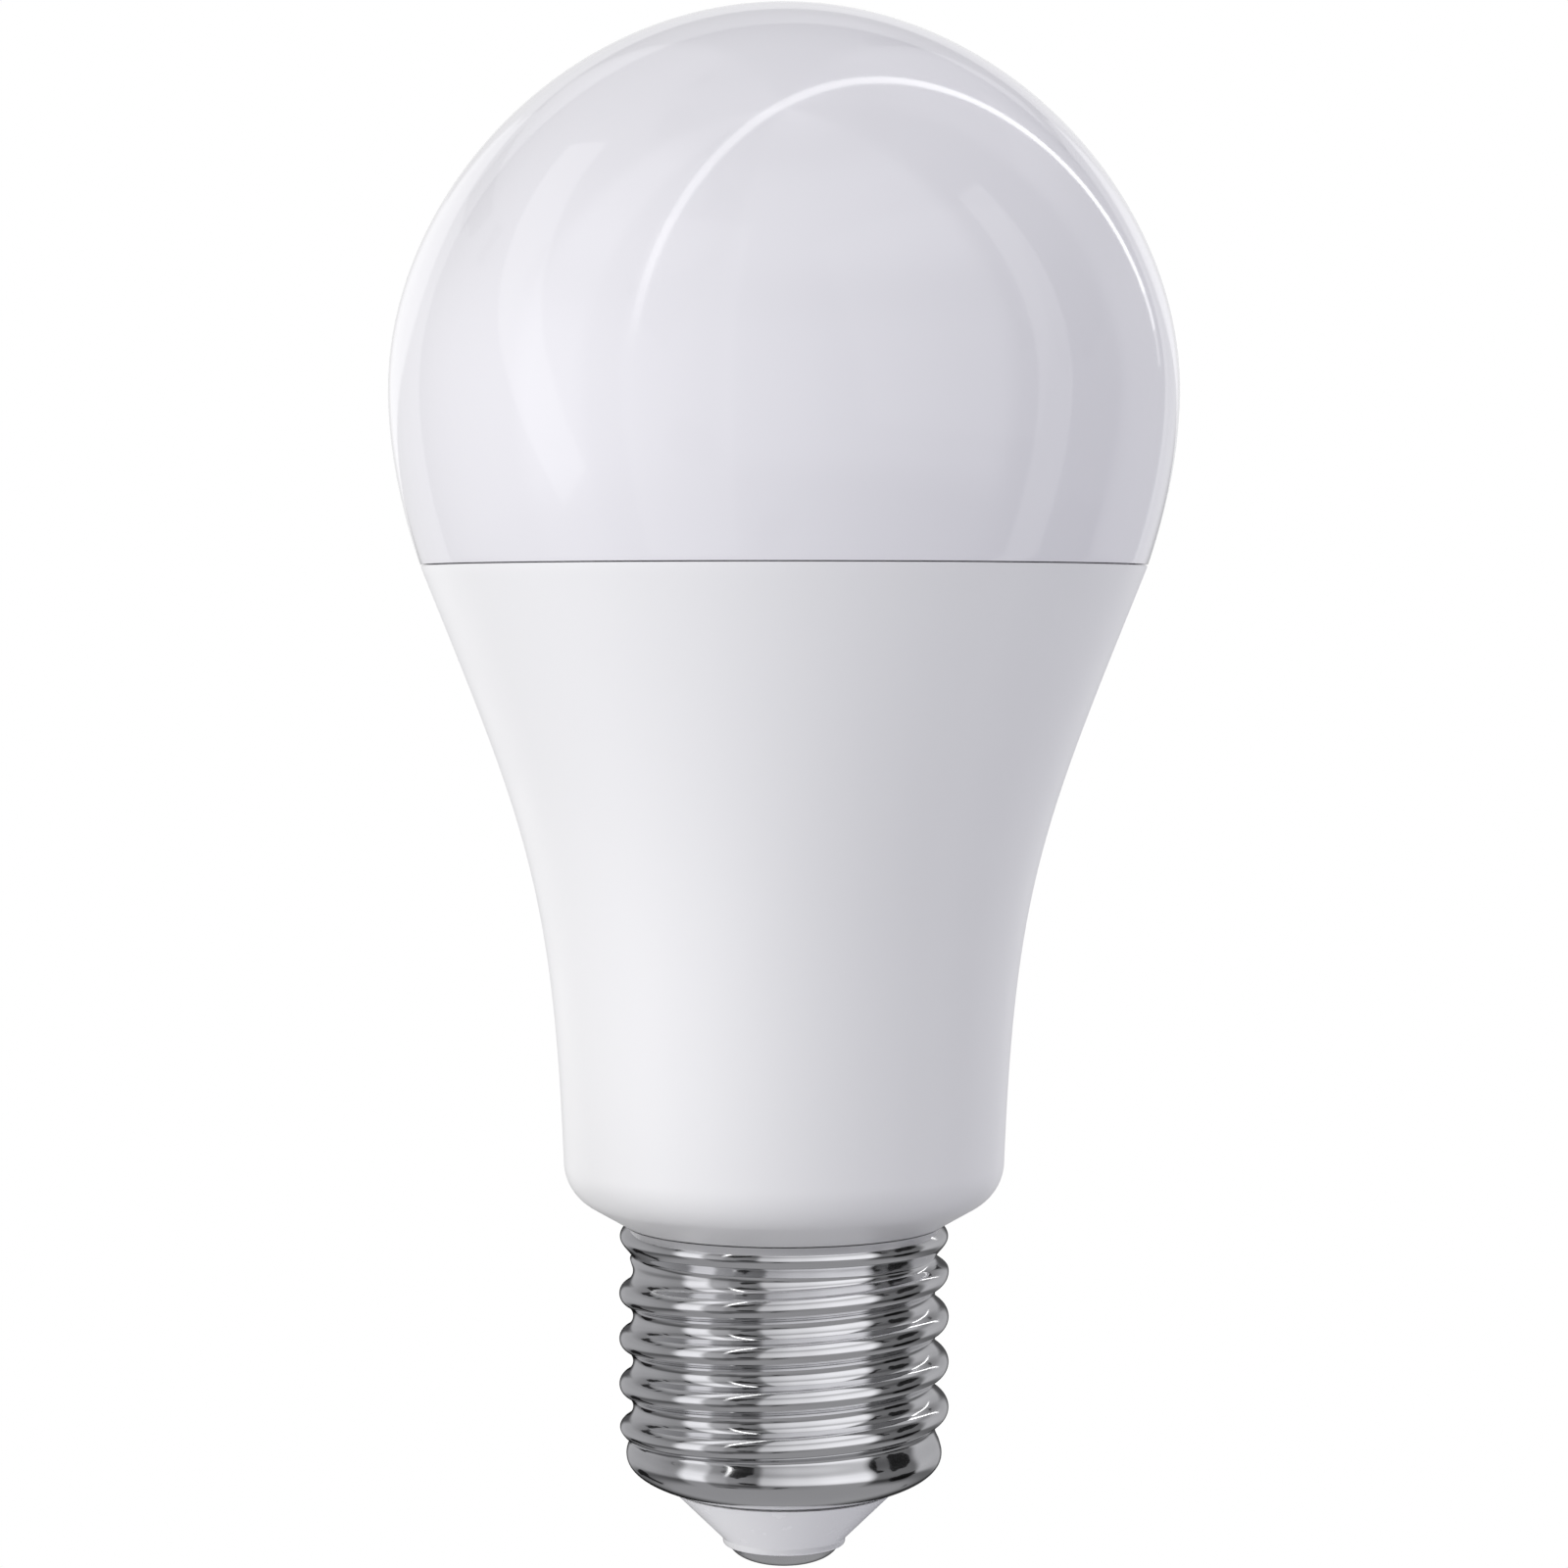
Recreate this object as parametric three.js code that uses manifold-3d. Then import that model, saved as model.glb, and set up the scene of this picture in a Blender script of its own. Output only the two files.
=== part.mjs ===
// Smart light bulb: an A60-style LED lamp with an E27 screw cap, millimetres, +Z towards the dome.
// The origin is the middle of the flat on the centre contact, so everything else is at z >= 0.
import * as THREE from "three";
import { mergeVertices } from "three/addons/utils/BufferGeometryUtils.js";
import Module from "manifold-3d";

// ---- driving dimensions ------------------------------------------------------------------

// Facet counts round the axis, each a multiple of four so that the extents on X and Y are exact.
const BODY_SEGMENTS = 36;
const CAP_SEGMENTS = 24;
const SMALL_SEGMENTS = 16;
const WIRE_SIDES = 8;

// Clearances: round a fitted piece, and between flat faces that rest on each other.
const FIT_GAP = 0.3;
const REST_GAP = 0.1;

// Outer envelope.
const DOME_TOP = 123.75;
const DOME_WIDEST = 93.3;
const DOME_RADIUS = 31.2;
const SEAM = 79.65;
const SEAM_RADIUS = 28.75;
const SEAM_GAP = 0.3;
const HOUSING_FOOT = 32.4;
const HOUSING_FOOT_RADIUS = 17.55;
const HOUSING_CORNER = 4.0;
const HOUSING_CORNER_TURN = THREE.MathUtils.degToRad(60);

// Walls.
const DOME_WALL = 1.3;
const SKIRT_WALL = 1.1;
const SKIRT_FOOT = 76.9;
const HOUSING_WALL = 1.3;
const CUP_WALL = 0.8;

// E27 thread: rounded crests and roots of one radius, right-handed.
const THREAD_RADIUS = 13.15;
const THREAD_PITCH = 3.629;
const THREAD_ARC = 1.025;
const THREAD_DEPTH = 2 * THREAD_ARC - Math.sqrt((2 * THREAD_ARC) ** 2 - (THREAD_PITCH / 2) ** 2);
const THREAD_CREST_AT_X = 12.6;
const THREAD_FADE_LOW = [8.9, 11.2];
const THREAD_FADE_HIGH = [23.7, 25.0];

// Screw shell, rolled from sheet, with a bead at each end and its foot curled in.
const SHELL_TOP = 27.2;
const SHELL_SHEET = 0.4;
const SHELL_ROOT_RADIUS = THREAD_RADIUS - THREAD_DEPTH;
const SHELL_ROWS = 30;
const TOP_BEAD = { z: 26.3, radius: 13.1, reach: 1.9 };
const FOOT_BEAD = { z: 8.9, radius: 12.6, reach: 2.0 };
const SHELL_FOOT = 6.1;
const SHELL_FOOT_RADIUS = 9.0;
const SPIGOT_RADIUS = 11.2;
const SPIGOT_WALL = 1.2;
const SPIGOT_FOOT = 11.5;

// Insulator and contact.
const INSULATOR_RADIUS = 8.9;
const INSULATOR_SHOULDER = 5.9;
const LIP_RADIUS = 4.9;
const LIP_FOOT = 1.5;
const LIP_TOP = 2.0;
const CONTACT_RADIUS = 4.4;
const CONTACT_FLAT_RADIUS = 1.0;
const CONTACT_RIM = 1.7;
const CONTACT_STEM_RADIUS = 1.5;
const CONTACT_STEM_TOP = 4.4;

// Light engine: cup deck, grease, aluminium board and LEDs.
const DECK_TOP = 74.0;
const DECK_THICKNESS = 1.0;
const CUP_FOOT = 47.0;
const GREASE_THICKNESS = 0.3;
const GREASE_RADIUS = 22.5;
const LED_BOARD_RADIUS = 24.7;
const LED_BOARD_THICKNESS = 1.0;
const LED_BOARD_FOOT = DECK_TOP + GREASE_THICKNESS + 2 * REST_GAP;
const LED_BOARD_TOP = LED_BOARD_FOOT + LED_BOARD_THICKNESS;
const WHITE_LED = { count: 12, ringRadius: 18.5, size: [2.8, 3.5, 0.7] };
const RGB_LED = { count: 4, ringRadius: 10.5, size: [5.0, 5.0, 1.6] };
const SCREW = { ringRadius: 13.5, headRadius: 1.9, headHeight: 1.3, shankRadius: 1.0, length: 4.6 };
const SCREW_ANGLES = [45, 225];

// Driver board, upright in the plane of X and Z.
const DRIVER_THICKNESS = 1.2;
const DRIVER_FACE = DRIVER_THICKNESS / 2;
const DRIVER_HALF_WIDTH = 13.8;
const DRIVER_TOP = 68.0;
const DRIVER_SHOULDER = 34.0;
const TONGUE_HALF_WIDTH = 7.5;
const TONGUE_FOOT = 16.0;
const RAIL = { inner: 12.9, outer: 17.3, near: 0.9, far: 1.9, foot: 34.5, top: 45.0 };

// Wireless module, upright behind the driver board and through the light engine.
const MODULE_BOARD = { halfWidth: 6.0, y: 6.0, thickness: 0.8, foot: 60.0, top: 84.0 };
const MODULE_SLOT = { halfWidth: 6.6, near: 5.3, far: 7.5 };
const HEADER_SLOT = { halfWidth: 5.6, halfDepth: 1.3 };

// ---- shared curves -----------------------------------------------------------------------

const point = (r, z) => new THREE.Vector2(r, z);

function bezierPoints(corners, steps) {
  return new THREE.CubicBezierCurve(...corners.map(([r, z]) => point(r, z))).getPoints(steps);
}

function arcPoints([centreR, centreZ], radius, startAngle, endAngle, steps) {
  const clockwise = endAngle < startAngle;
  return new THREE.EllipseCurve(centreR, centreZ, radius, radius, startAngle, endAngle, clockwise)
    .getPoints(steps);
}

function joined(...runs) {
  const points = [];
  for (const next of runs.flat()) {
    const last = points.at(-1);
    if (!last || last.distanceTo(next) > 1e-6) points.push(next);
  }
  return points;
}

// The dome's outline from its widest circle to its top, drawn in by a wall thickness.
function domeCrown(inset, steps) {
  const radius = DOME_RADIUS - inset;
  const top = DOME_TOP - inset;
  const grow = radius / DOME_RADIUS;
  const upperHandle = DOME_WIDEST + 15.3 * grow;
  const corners = [[radius, DOME_WIDEST], [radius, upperHandle], [17.15 * grow, top], [0, top]];
  return bezierPoints(corners, steps);
}

// The dome's outline from the seam up to its widest circle.
function domeWaist(inset, steps) {
  const corners = [[SEAM_RADIUS, SEAM], [30.1, 83.65], [DOME_RADIUS, 88.4], [DOME_RADIUS, DOME_WIDEST]];
  return bezierPoints(corners.map(([r, z]) => [r - inset, z]), steps);
}

// The housing's flared side, as a curve from its foot to the seam.
const HOUSING_SIDE = new THREE.CubicBezierCurve(
  point(HOUSING_FOOT_RADIUS, HOUSING_FOOT),
  point(18.4, 54.5),
  point(20.7, 59.55),
  point(SEAM_RADIUS, SEAM),
);

// The housing's outer radius at a height, found by halving the curve's parameter range.
function housingRadius(z) {
  let low = 0;
  let high = 1;
  for (let pass = 0; pass < 40; pass += 1) {
    const middle = (low + high) / 2;
    if (HOUSING_SIDE.getPoint(middle).y < z) low = middle;
    else high = middle;
  }
  return HOUSING_SIDE.getPoint(low).x;
}

// A run of points up the housing's side between two heights, drawn in by an inset.
function housingRun(zLow, zHigh, inset, steps) {
  const run = [];
  for (let step = 0; step <= steps; step += 1) {
    const z = THREE.MathUtils.lerp(zLow, zHigh, step / steps);
    run.push(point(housingRadius(z) - inset, z));
  }
  return run;
}

// ---- shared solids -----------------------------------------------------------------------

const wasm = await Module();
wasm.setup();

// A body turned round Z. The outline runs anticlockwise, with r to the right and z up.
function turned(outline, segments) {
  const geometry = new THREE.LatheGeometry(outline, segments);
  geometry.rotateX(Math.PI / 2);
  return geometry;
}

function ring(outline, segments) {
  return turned([...outline, outline[0]], segments);
}

function box([xLow, yLow, zLow], [xHigh, yHigh, zHigh]) {
  const geometry = new THREE.BoxGeometry(xHigh - xLow, yHigh - yLow, zHigh - zLow);
  geometry.translate((xLow + xHigh) / 2, (yLow + yHigh) / 2, (zLow + zHigh) / 2);
  return geometry;
}

function cylinder(radius, zLow, zHigh, segments) {
  const outline = [point(0, zLow), point(radius, zLow), point(radius, zHigh), point(0, zHigh)];
  return turned(outline, segments);
}

function tube(route, radius, steps) {
  const section = new THREE.Shape();
  for (let side = 0; side < WIRE_SIDES; side += 1) {
    const angle = (2 * Math.PI * side) / WIRE_SIDES;
    const corner = [radius * Math.cos(angle), radius * Math.sin(angle)];
    if (side === 0) section.moveTo(...corner);
    else section.lineTo(...corner);
  }
  const extrudePath = new THREE.CatmullRomCurve3(route.map((place) => new THREE.Vector3(...place)));
  return new THREE.ExtrudeGeometry(section, { steps, extrudePath, bevelEnabled: false });
}

function solid(geometry) {
  const bare = geometry.clone();
  bare.deleteAttribute("normal");
  bare.deleteAttribute("uv");
  const merged = mergeVertices(bare);
  const index = merged.index.array;
  const triangles = [];
  for (let at = 0; at < index.length; at += 3) {
    const [a, b, c] = [index[at], index[at + 1], index[at + 2]];
    if (a !== b && b !== c && c !== a) triangles.push(a, b, c);
  }
  return new wasm.Manifold(new wasm.Mesh({
    numProp: 3,
    vertProperties: new Float32Array(merged.attributes.position.array),
    triVerts: new Uint32Array(triangles),
  }));
}

function geometryOf(manifold) {
  const mesh = manifold.getMesh();
  const geometry = new THREE.BufferGeometry();
  geometry.setAttribute("position", new THREE.BufferAttribute(mesh.vertProperties, 3));
  geometry.setIndex(new THREE.BufferAttribute(mesh.triVerts, 1));
  geometry.computeVertexNormals();
  return geometry;
}

function withCuts(geometry, cuts) {
  return geometryOf(cuts.reduce((body, cut) => body.subtract(solid(cut)), solid(geometry)));
}

function withJoins(geometry, extras) {
  return geometryOf(extras.reduce((body, extra) => body.add(solid(extra)), solid(geometry)));
}

// ---- materials ---------------------------------------------------------------------------

function finish(color, roughness, metalness = 0) {
  return () => new THREE.MeshStandardMaterial({ color, roughness, metalness });
}

const opalPolycarbonate = finish(0xe6e7eb, 0.15);
const whitePolymer = finish(0xeeeef1, 0.38);
const clearSilicone = finish(0xdfe3e4, 0.3);
const drawnAluminium = finish(0xb9bcc0, 0.35, 1);
const greyGrease = finish(0xa9abab, 0.7);
const whiteSolderMask = finish(0xf0f1ef, 0.45);
const coolPhosphor = finish(0xf1e04a, 0.4);
const warmPhosphor = finish(0xf09a2a, 0.4);
const rgbPackage = finish(0xf4f4f2, 0.35);
const zincSteel = finish(0xbfc3c6, 0.3, 1);
const greenBoard = finish(0x1f6b3a, 0.45);
const blackEpoxy = finish(0x17181a, 0.5);
const capacitorSleeve = finish(0x1d2c4f, 0.35);
const ferrite = finish(0x2b2b2d, 0.7);
const copperWinding = finish(0xb4652c, 0.35, 0.6);
const blueEpoxy = finish(0x2456a8, 0.35);
const resistorBody = finish(0x7fb59a, 0.5);
const heatShrink = finish(0x161616, 0.55);
const tinnedSteel = finish(0xc3c5c7, 0.28, 1);
const redInsulation = finish(0xb3201f, 0.45);
const blackInsulation = finish(0x1b1b1c, 0.45);
const nickelShell = finish(0xb7b8bb, 0.16, 1);
const whiteInsulator = finish(0xdcdce0, 0.25);
const nickelContact = finish(0x8f9094, 0.3, 1);

// ---- envelope ----------------------------------------------------------------------------

// Opal shell with a tapered skirt that plugs into the housing's rim.
function diffuserDome() {
  const edge = SEAM + SEAM_GAP / 2;
  const skirtOutset = HOUSING_WALL + FIT_GAP;
  const skirtInset = skirtOutset + SKIRT_WALL;
  const outside = joined(
    [point(housingRadius(edge) - skirtOutset, edge), point(SEAM_RADIUS, edge)],
    domeWaist(0, 4).slice(1),
    domeCrown(0, 11).slice(1),
  );
  const inside = joined(domeCrown(DOME_WALL, 9).reverse(), domeWaist(DOME_WALL, 4).slice(1).reverse());
  const skirt = [
    point(housingRadius(SEAM) - skirtInset, SEAM - 0.2),
    point(housingRadius(SKIRT_FOOT) - skirtInset, SKIRT_FOOT),
    point(housingRadius(SKIRT_FOOT) - skirtOutset, SKIRT_FOOT),
  ];
  const outline = joined(skirt.slice(2), outside, inside, skirt.slice(0, 2));
  return ring(outline, BODY_SEGMENTS);
}

// Bead of silicone under the skirt, which holds the dome in the housing.
function domeAdhesive() {
  const middleZ = (SKIRT_FOOT + LED_BOARD_TOP) / 2 + REST_GAP;
  const middleR = housingRadius(middleZ) - HOUSING_WALL - 0.85;
  const outline = [];
  for (let side = 0; side < 6; side += 1) {
    const angle = (Math.PI * side) / 3;
    outline.push(point(middleR + 0.6 * Math.cos(angle), middleZ + 0.45 * Math.sin(angle)));
  }
  return ring(outline, BODY_SEGMENTS);
}

// Flared white body: side wall, rounded foot, sloping underside and the spigot for the cap.
function outerHousing() {
  const rim = SEAM - SEAM_GAP / 2;
  const cornerCentre = [HOUSING_FOOT_RADIUS - HOUSING_CORNER, HOUSING_FOOT];
  const corner = arcPoints(cornerCentre, HOUSING_CORNER, -HOUSING_CORNER_TURN, 0, 5);
  const underside = corner[0];
  const undersideSlope = Math.tan(Math.PI / 2 - HOUSING_CORNER_TURN);
  const footZ = SHELL_TOP + FIT_GAP;
  const footRadius = underside.x - (underside.y - footZ) / undersideSlope;
  const spigotBore = SPIGOT_RADIUS - SPIGOT_WALL;
  const innerCorner = arcPoints(cornerCentre, HOUSING_CORNER - HOUSING_WALL, 0, -HOUSING_CORNER_TURN, 3);
  const outline = joined(
    [point(spigotBore, SPIGOT_FOOT), point(SPIGOT_RADIUS, SPIGOT_FOOT)],
    [point(SPIGOT_RADIUS, footZ), point(footRadius, footZ)],
    corner,
    housingRun(HOUSING_FOOT, rim, 0, 11),
    housingRun(HOUSING_FOOT, rim, HOUSING_WALL, 9).reverse(),
    innerCorner,
    [point(spigotBore, footZ + HOUSING_WALL)],
  );
  const rails = [];
  for (const side of [-1, 1]) {
    for (const face of [-1, 1]) {
      const [xLow, xHigh] = [side * RAIL.inner, side * RAIL.outer].sort((a, b) => a - b);
      const [yLow, yHigh] = [face * RAIL.near, face * RAIL.far].sort((a, b) => a - b);
      rails.push(box([xLow, yLow, RAIL.foot], [xHigh, yHigh, RAIL.top]));
    }
  }
  return withJoins(ring(outline, BODY_SEGMENTS), rails);
}

// ---- light engine ------------------------------------------------------------------------

function screwPlaces() {
  return SCREW_ANGLES.map((degrees) => {
    const angle = THREE.MathUtils.degToRad(degrees);
    return [SCREW.ringRadius * Math.cos(angle), SCREW.ringRadius * Math.sin(angle)];
  });
}

// The openings shared by the cup's deck, the grease and the LED board.
function deckCuts(zLow, zHigh) {
  const holes = screwPlaces().map(([x, y]) => {
    const hole = cylinder(SCREW.shankRadius + FIT_GAP, zLow, zHigh, SMALL_SEGMENTS);
    return hole.translate(x, y, 0);
  });
  const { halfWidth, near, far } = MODULE_SLOT;
  const { halfWidth: headerHalf, halfDepth } = HEADER_SLOT;
  return [
    box([-halfWidth, near, zLow], [halfWidth, far, zHigh]),
    box([-headerHalf, -halfDepth, zLow], [headerHalf, halfDepth, zHigh]),
    ...holes,
  ];
}

// Deep-drawn liner that takes the LEDs' heat into the housing, closed by its deck.
function heatSinkCup() {
  const outset = HOUSING_WALL + FIT_GAP;
  const inset = outset + CUP_WALL;
  const deckFoot = DECK_TOP - DECK_THICKNESS;
  const outline = joined(
    housingRun(CUP_FOOT, DECK_TOP, outset, 7),
    [point(0, DECK_TOP), point(0, deckFoot)],
    housingRun(CUP_FOOT, deckFoot, inset, 7).reverse(),
  );
  return withCuts(ring(outline, BODY_SEGMENTS), deckCuts(deckFoot - 1, DECK_TOP + 1));
}

function thermalGrease() {
  const foot = DECK_TOP + REST_GAP;
  const top = foot + GREASE_THICKNESS;
  return withCuts(cylinder(GREASE_RADIUS, foot, top, BODY_SEGMENTS), deckCuts(foot - 1, top + 1));
}

function ledBoard() {
  const plate = cylinder(LED_BOARD_RADIUS, LED_BOARD_FOOT, LED_BOARD_TOP, BODY_SEGMENTS);
  return withCuts(plate, deckCuts(LED_BOARD_FOOT - 1, LED_BOARD_TOP + 1));
}

// One surface-mount LED: a block with its upper edges drawn in.
function ledPackage([width, length, height]) {
  const shape = new THREE.Shape();
  shape.moveTo(-width / 2, 0);
  shape.lineTo(width / 2, 0);
  shape.lineTo(width / 2, height * 0.6);
  shape.lineTo(width / 2 - height * 0.3, height);
  shape.lineTo(-width / 2 + height * 0.3, height);
  shape.lineTo(-width / 2, height * 0.6);
  const geometry = new THREE.ExtrudeGeometry(shape, { depth: length, bevelEnabled: false });
  geometry.translate(0, 0, -length / 2);
  geometry.rotateX(Math.PI / 2);
  return geometry;
}

function boardScrew() {
  const head = SCREW.headHeight;
  const outline = [
    point(0, -SCREW.length),
    point(SCREW.shankRadius * 0.6, -SCREW.length),
    point(SCREW.shankRadius, -SCREW.length + 0.5),
    point(SCREW.shankRadius, 0),
    point(SCREW.headRadius, 0),
    point(SCREW.headRadius, head * 0.55),
    point(SCREW.headRadius * 0.6, head),
    point(0, head),
  ];
  const arm = [SCREW.headRadius * 0.55, 0.2];
  const cross = [
    box([-arm[0], -arm[1], head * 0.45], [arm[0], arm[1], head + 1]),
    box([-arm[1], -arm[0], head * 0.45], [arm[1], arm[0], head + 1]),
  ];
  return withCuts(turned(outline, SMALL_SEGMENTS), cross);
}

// ---- driver ------------------------------------------------------------------------------

function driverBoard() {
  const shape = new THREE.Shape();
  shape.moveTo(-TONGUE_HALF_WIDTH, TONGUE_FOOT);
  shape.lineTo(TONGUE_HALF_WIDTH, TONGUE_FOOT);
  shape.lineTo(TONGUE_HALF_WIDTH, DRIVER_SHOULDER);
  shape.lineTo(DRIVER_HALF_WIDTH, DRIVER_SHOULDER);
  shape.lineTo(DRIVER_HALF_WIDTH, DRIVER_TOP);
  shape.lineTo(-DRIVER_HALF_WIDTH, DRIVER_TOP);
  shape.lineTo(-DRIVER_HALF_WIDTH, DRIVER_SHOULDER);
  shape.lineTo(-TONGUE_HALF_WIDTH, DRIVER_SHOULDER);
  const geometry = new THREE.ExtrudeGeometry(shape, { depth: DRIVER_THICKNESS, bevelEnabled: false });
  geometry.rotateX(Math.PI / 2);
  geometry.translate(0, DRIVER_FACE, 0);
  return geometry;
}

// A block soldered to the board: side -1 is its front face, side 1 its back.
function boardBlock(side, [width, thickness, height]) {
  const near = side * (DRIVER_FACE + REST_GAP);
  const far = near + side * thickness;
  const low = [-width / 2, Math.min(near, far), -height / 2];
  const high = [width / 2, Math.max(near, far), height / 2];
  return box(low, high);
}

// Electrolytic capacitor lying along the board, with its rolled crimp near the foot.
function canCapacitor(radius, height) {
  const outline = [
    point(0, 0),
    point(radius, 0),
    point(radius, height * 0.1),
    point(radius - 0.35, height * 0.15),
    point(radius, height * 0.2),
    point(radius, height - 0.4),
    point(radius - 0.4, height),
    point(0, height),
  ];
  return turned(outline, SMALL_SEGMENTS);
}

const TRANSFORMER = { width: 12.6, height: 12.0, depth: 5.0, leg: 3.0, window: 2.9, windowHeight: 7.6 };

function transformerCore() {
  const { width, height, depth, leg, window: gap, windowHeight } = TRANSFORMER;
  const frame = box([-width / 2, -depth / 2, -height / 2], [width / 2, depth / 2, height / 2]);
  const cuts = [-1, 1].map((side) => {
    const middle = side * (leg / 2 + gap / 2);
    return box([middle - gap / 2, -depth, -windowHeight / 2], [middle + gap / 2, depth, windowHeight / 2]);
  });
  return withCuts(frame, cuts);
}

function transformerWinding() {
  const { depth, leg, window: gap, windowHeight } = TRANSFORMER;
  const halfX = leg / 2 + gap - FIT_GAP;
  const halfY = depth / 2 + gap - FIT_GAP;
  const halfZ = windowHeight / 2 - FIT_GAP;
  const coil = box([-halfX, -halfY, -halfZ], [halfX, halfY, halfZ]);
  const boreX = leg / 2 + FIT_GAP;
  const boreY = depth / 2 + FIT_GAP;
  return withCuts(coil, [box([-boreX, -boreY, -halfZ - 1], [boreX, boreY, halfZ + 1])]);
}

const CHOKE = { radius: 3.3, waist: 1.6, flange: 1.0, height: 8.0 };

function chokeCore() {
  const { radius, waist, flange, height } = CHOKE;
  const outline = [
    point(0, 0),
    point(radius, 0),
    point(radius, flange),
    point(waist, flange),
    point(waist, height - flange),
    point(radius, height - flange),
    point(radius, height),
    point(0, height),
  ];
  return turned(outline, SMALL_SEGMENTS);
}

function chokeWinding() {
  const { radius, waist, flange, height } = CHOKE;
  const [low, high] = [flange + FIT_GAP, height - flange - FIT_GAP];
  const [inner, outer] = [waist + FIT_GAP, radius - FIT_GAP];
  return ring([point(inner, low), point(outer, low), point(outer, high), point(inner, high)], SMALL_SEGMENTS);
}

function varistor() {
  const disc = cylinder(3.6, -1.5, 1.5, SMALL_SEGMENTS);
  return disc.rotateX(Math.PI / 2);
}

const FUSE = { bodyRadius: 1.5, leadRadius: 0.35, foot: 15.9, bodyFoot: 17.5, bodyTop: 25.5, top: 28.0 };

function fuseResistor() {
  const { bodyRadius, leadRadius, foot, bodyFoot, bodyTop, top } = FUSE;
  const outline = [
    point(0, foot),
    point(leadRadius, foot),
    point(leadRadius, bodyFoot),
    point(bodyRadius, bodyFoot + 0.4),
    point(bodyRadius, bodyTop - 0.4),
    point(leadRadius, bodyTop),
    point(leadRadius, top),
    point(0, top),
  ];
  return turned(outline, SMALL_SEGMENTS);
}

function fuseSleeve() {
  const inner = FUSE.bodyRadius + FIT_GAP;
  const outer = inner + 0.4;
  const [low, high] = [FUSE.bodyFoot - 0.5, FUSE.bodyTop + 0.5];
  return ring([point(inner, low), point(outer, low), point(outer, high), point(inner, high)], SMALL_SEGMENTS);
}

// ---- wireless module and headers -----------------------------------------------------------

function moduleBoard() {
  const { halfWidth, y, thickness, foot, top } = MODULE_BOARD;
  return box([-halfWidth, y, foot], [halfWidth, y + thickness, top]);
}

function moduleShield() {
  const y = MODULE_BOARD.y + MODULE_BOARD.thickness + REST_GAP;
  return box([-5, y, MODULE_BOARD.foot + 1], [5, y + 1.6, MODULE_BOARD.foot + 12]);
}

const PIN = { count: 4, pitch: 2.54, half: 0.32 };

function pinPlaces() {
  return Array.from({ length: PIN.count }, (_, at) => (at - (PIN.count - 1) / 2) * PIN.pitch);
}

// Header between the driver board and the wireless module: pins run along Y.
function moduleHeader() {
  const near = DRIVER_FACE + FIT_GAP;
  const far = MODULE_BOARD.y - FIT_GAP;
  const z = MODULE_BOARD.foot + 2.5;
  const bar = box([-5, near + 1.2, z - 1.25], [5, far - 1.2, z + 1.25]);
  const pins = pinPlaces().map((x) => box([x - PIN.half, near, z - PIN.half], [x + PIN.half, far, z + PIN.half]));
  return withJoins(bar, pins);
}

// Header from the driver board's top edge up through the deck to the LED board.
function ledHeader() {
  const foot = DRIVER_TOP + REST_GAP;
  const top = LED_BOARD_TOP + 1.2;
  const bar = box([-5, -1.1, foot], [5, 1.1, foot + 2.5]);
  const pins = pinPlaces().map((x) => box([x - PIN.half, -PIN.half, foot + 1], [x + PIN.half, PIN.half, top]));
  return withJoins(bar, pins);
}

// ---- cap ---------------------------------------------------------------------------------

// Height of the rounded thread over its root, from 0 to 1, at a distance of turns from a crest.
function threadShape(turns) {
  const offset = Math.abs(turns - Math.round(turns)) * THREAD_PITCH;
  const quarter = THREAD_PITCH / 4;
  if (offset <= quarter) {
    return 1 - (THREAD_ARC - Math.sqrt(THREAD_ARC ** 2 - offset ** 2)) / THREAD_DEPTH;
  }
  const fromRoot = THREAD_PITCH / 2 - offset;
  return (THREAD_ARC - Math.sqrt(THREAD_ARC ** 2 - fromRoot ** 2)) / THREAD_DEPTH;
}

function beadHeight(bead, z) {
  const away = Math.min(Math.abs(z - bead.z) / bead.reach, 1);
  return (bead.radius - SHELL_ROOT_RADIUS) * (0.5 + 0.5 * Math.cos(Math.PI * away));
}

function beads(z) {
  return beadHeight(TOP_BEAD, z) + beadHeight(FOOT_BEAD, z);
}

// How far the thread stands proud of the beaded sheet at an angle and a height.
function threadLift(angle, z) {
  const turns = (z - THREAD_CREST_AT_X) / THREAD_PITCH - angle / (2 * Math.PI);
  const fadeIn = THREE.MathUtils.smoothstep(z, ...THREAD_FADE_LOW);
  const fadeOut = 1 - THREE.MathUtils.smoothstep(z, ...THREAD_FADE_HIGH);
  const thread = THREAD_DEPTH * threadShape(turns) * fadeIn * fadeOut;
  return Math.cbrt(thread ** 3 + beads(z) ** 3) - beads(z);
}

// The shell's foot, curled in from the bead to the insulator.
function shellCurl(inset) {
  const edge = FOOT_BEAD.radius - inset;
  const foot = SHELL_FOOT + inset;
  const corners = [
    [SHELL_FOOT_RADIUS, foot],
    [edge - 1.4 + inset / 2, foot + 0.7],
    [edge, FOOT_BEAD.z - 1.3 + inset],
    [edge, FOOT_BEAD.z],
  ];
  return bezierPoints(corners, 5);
}

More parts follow.
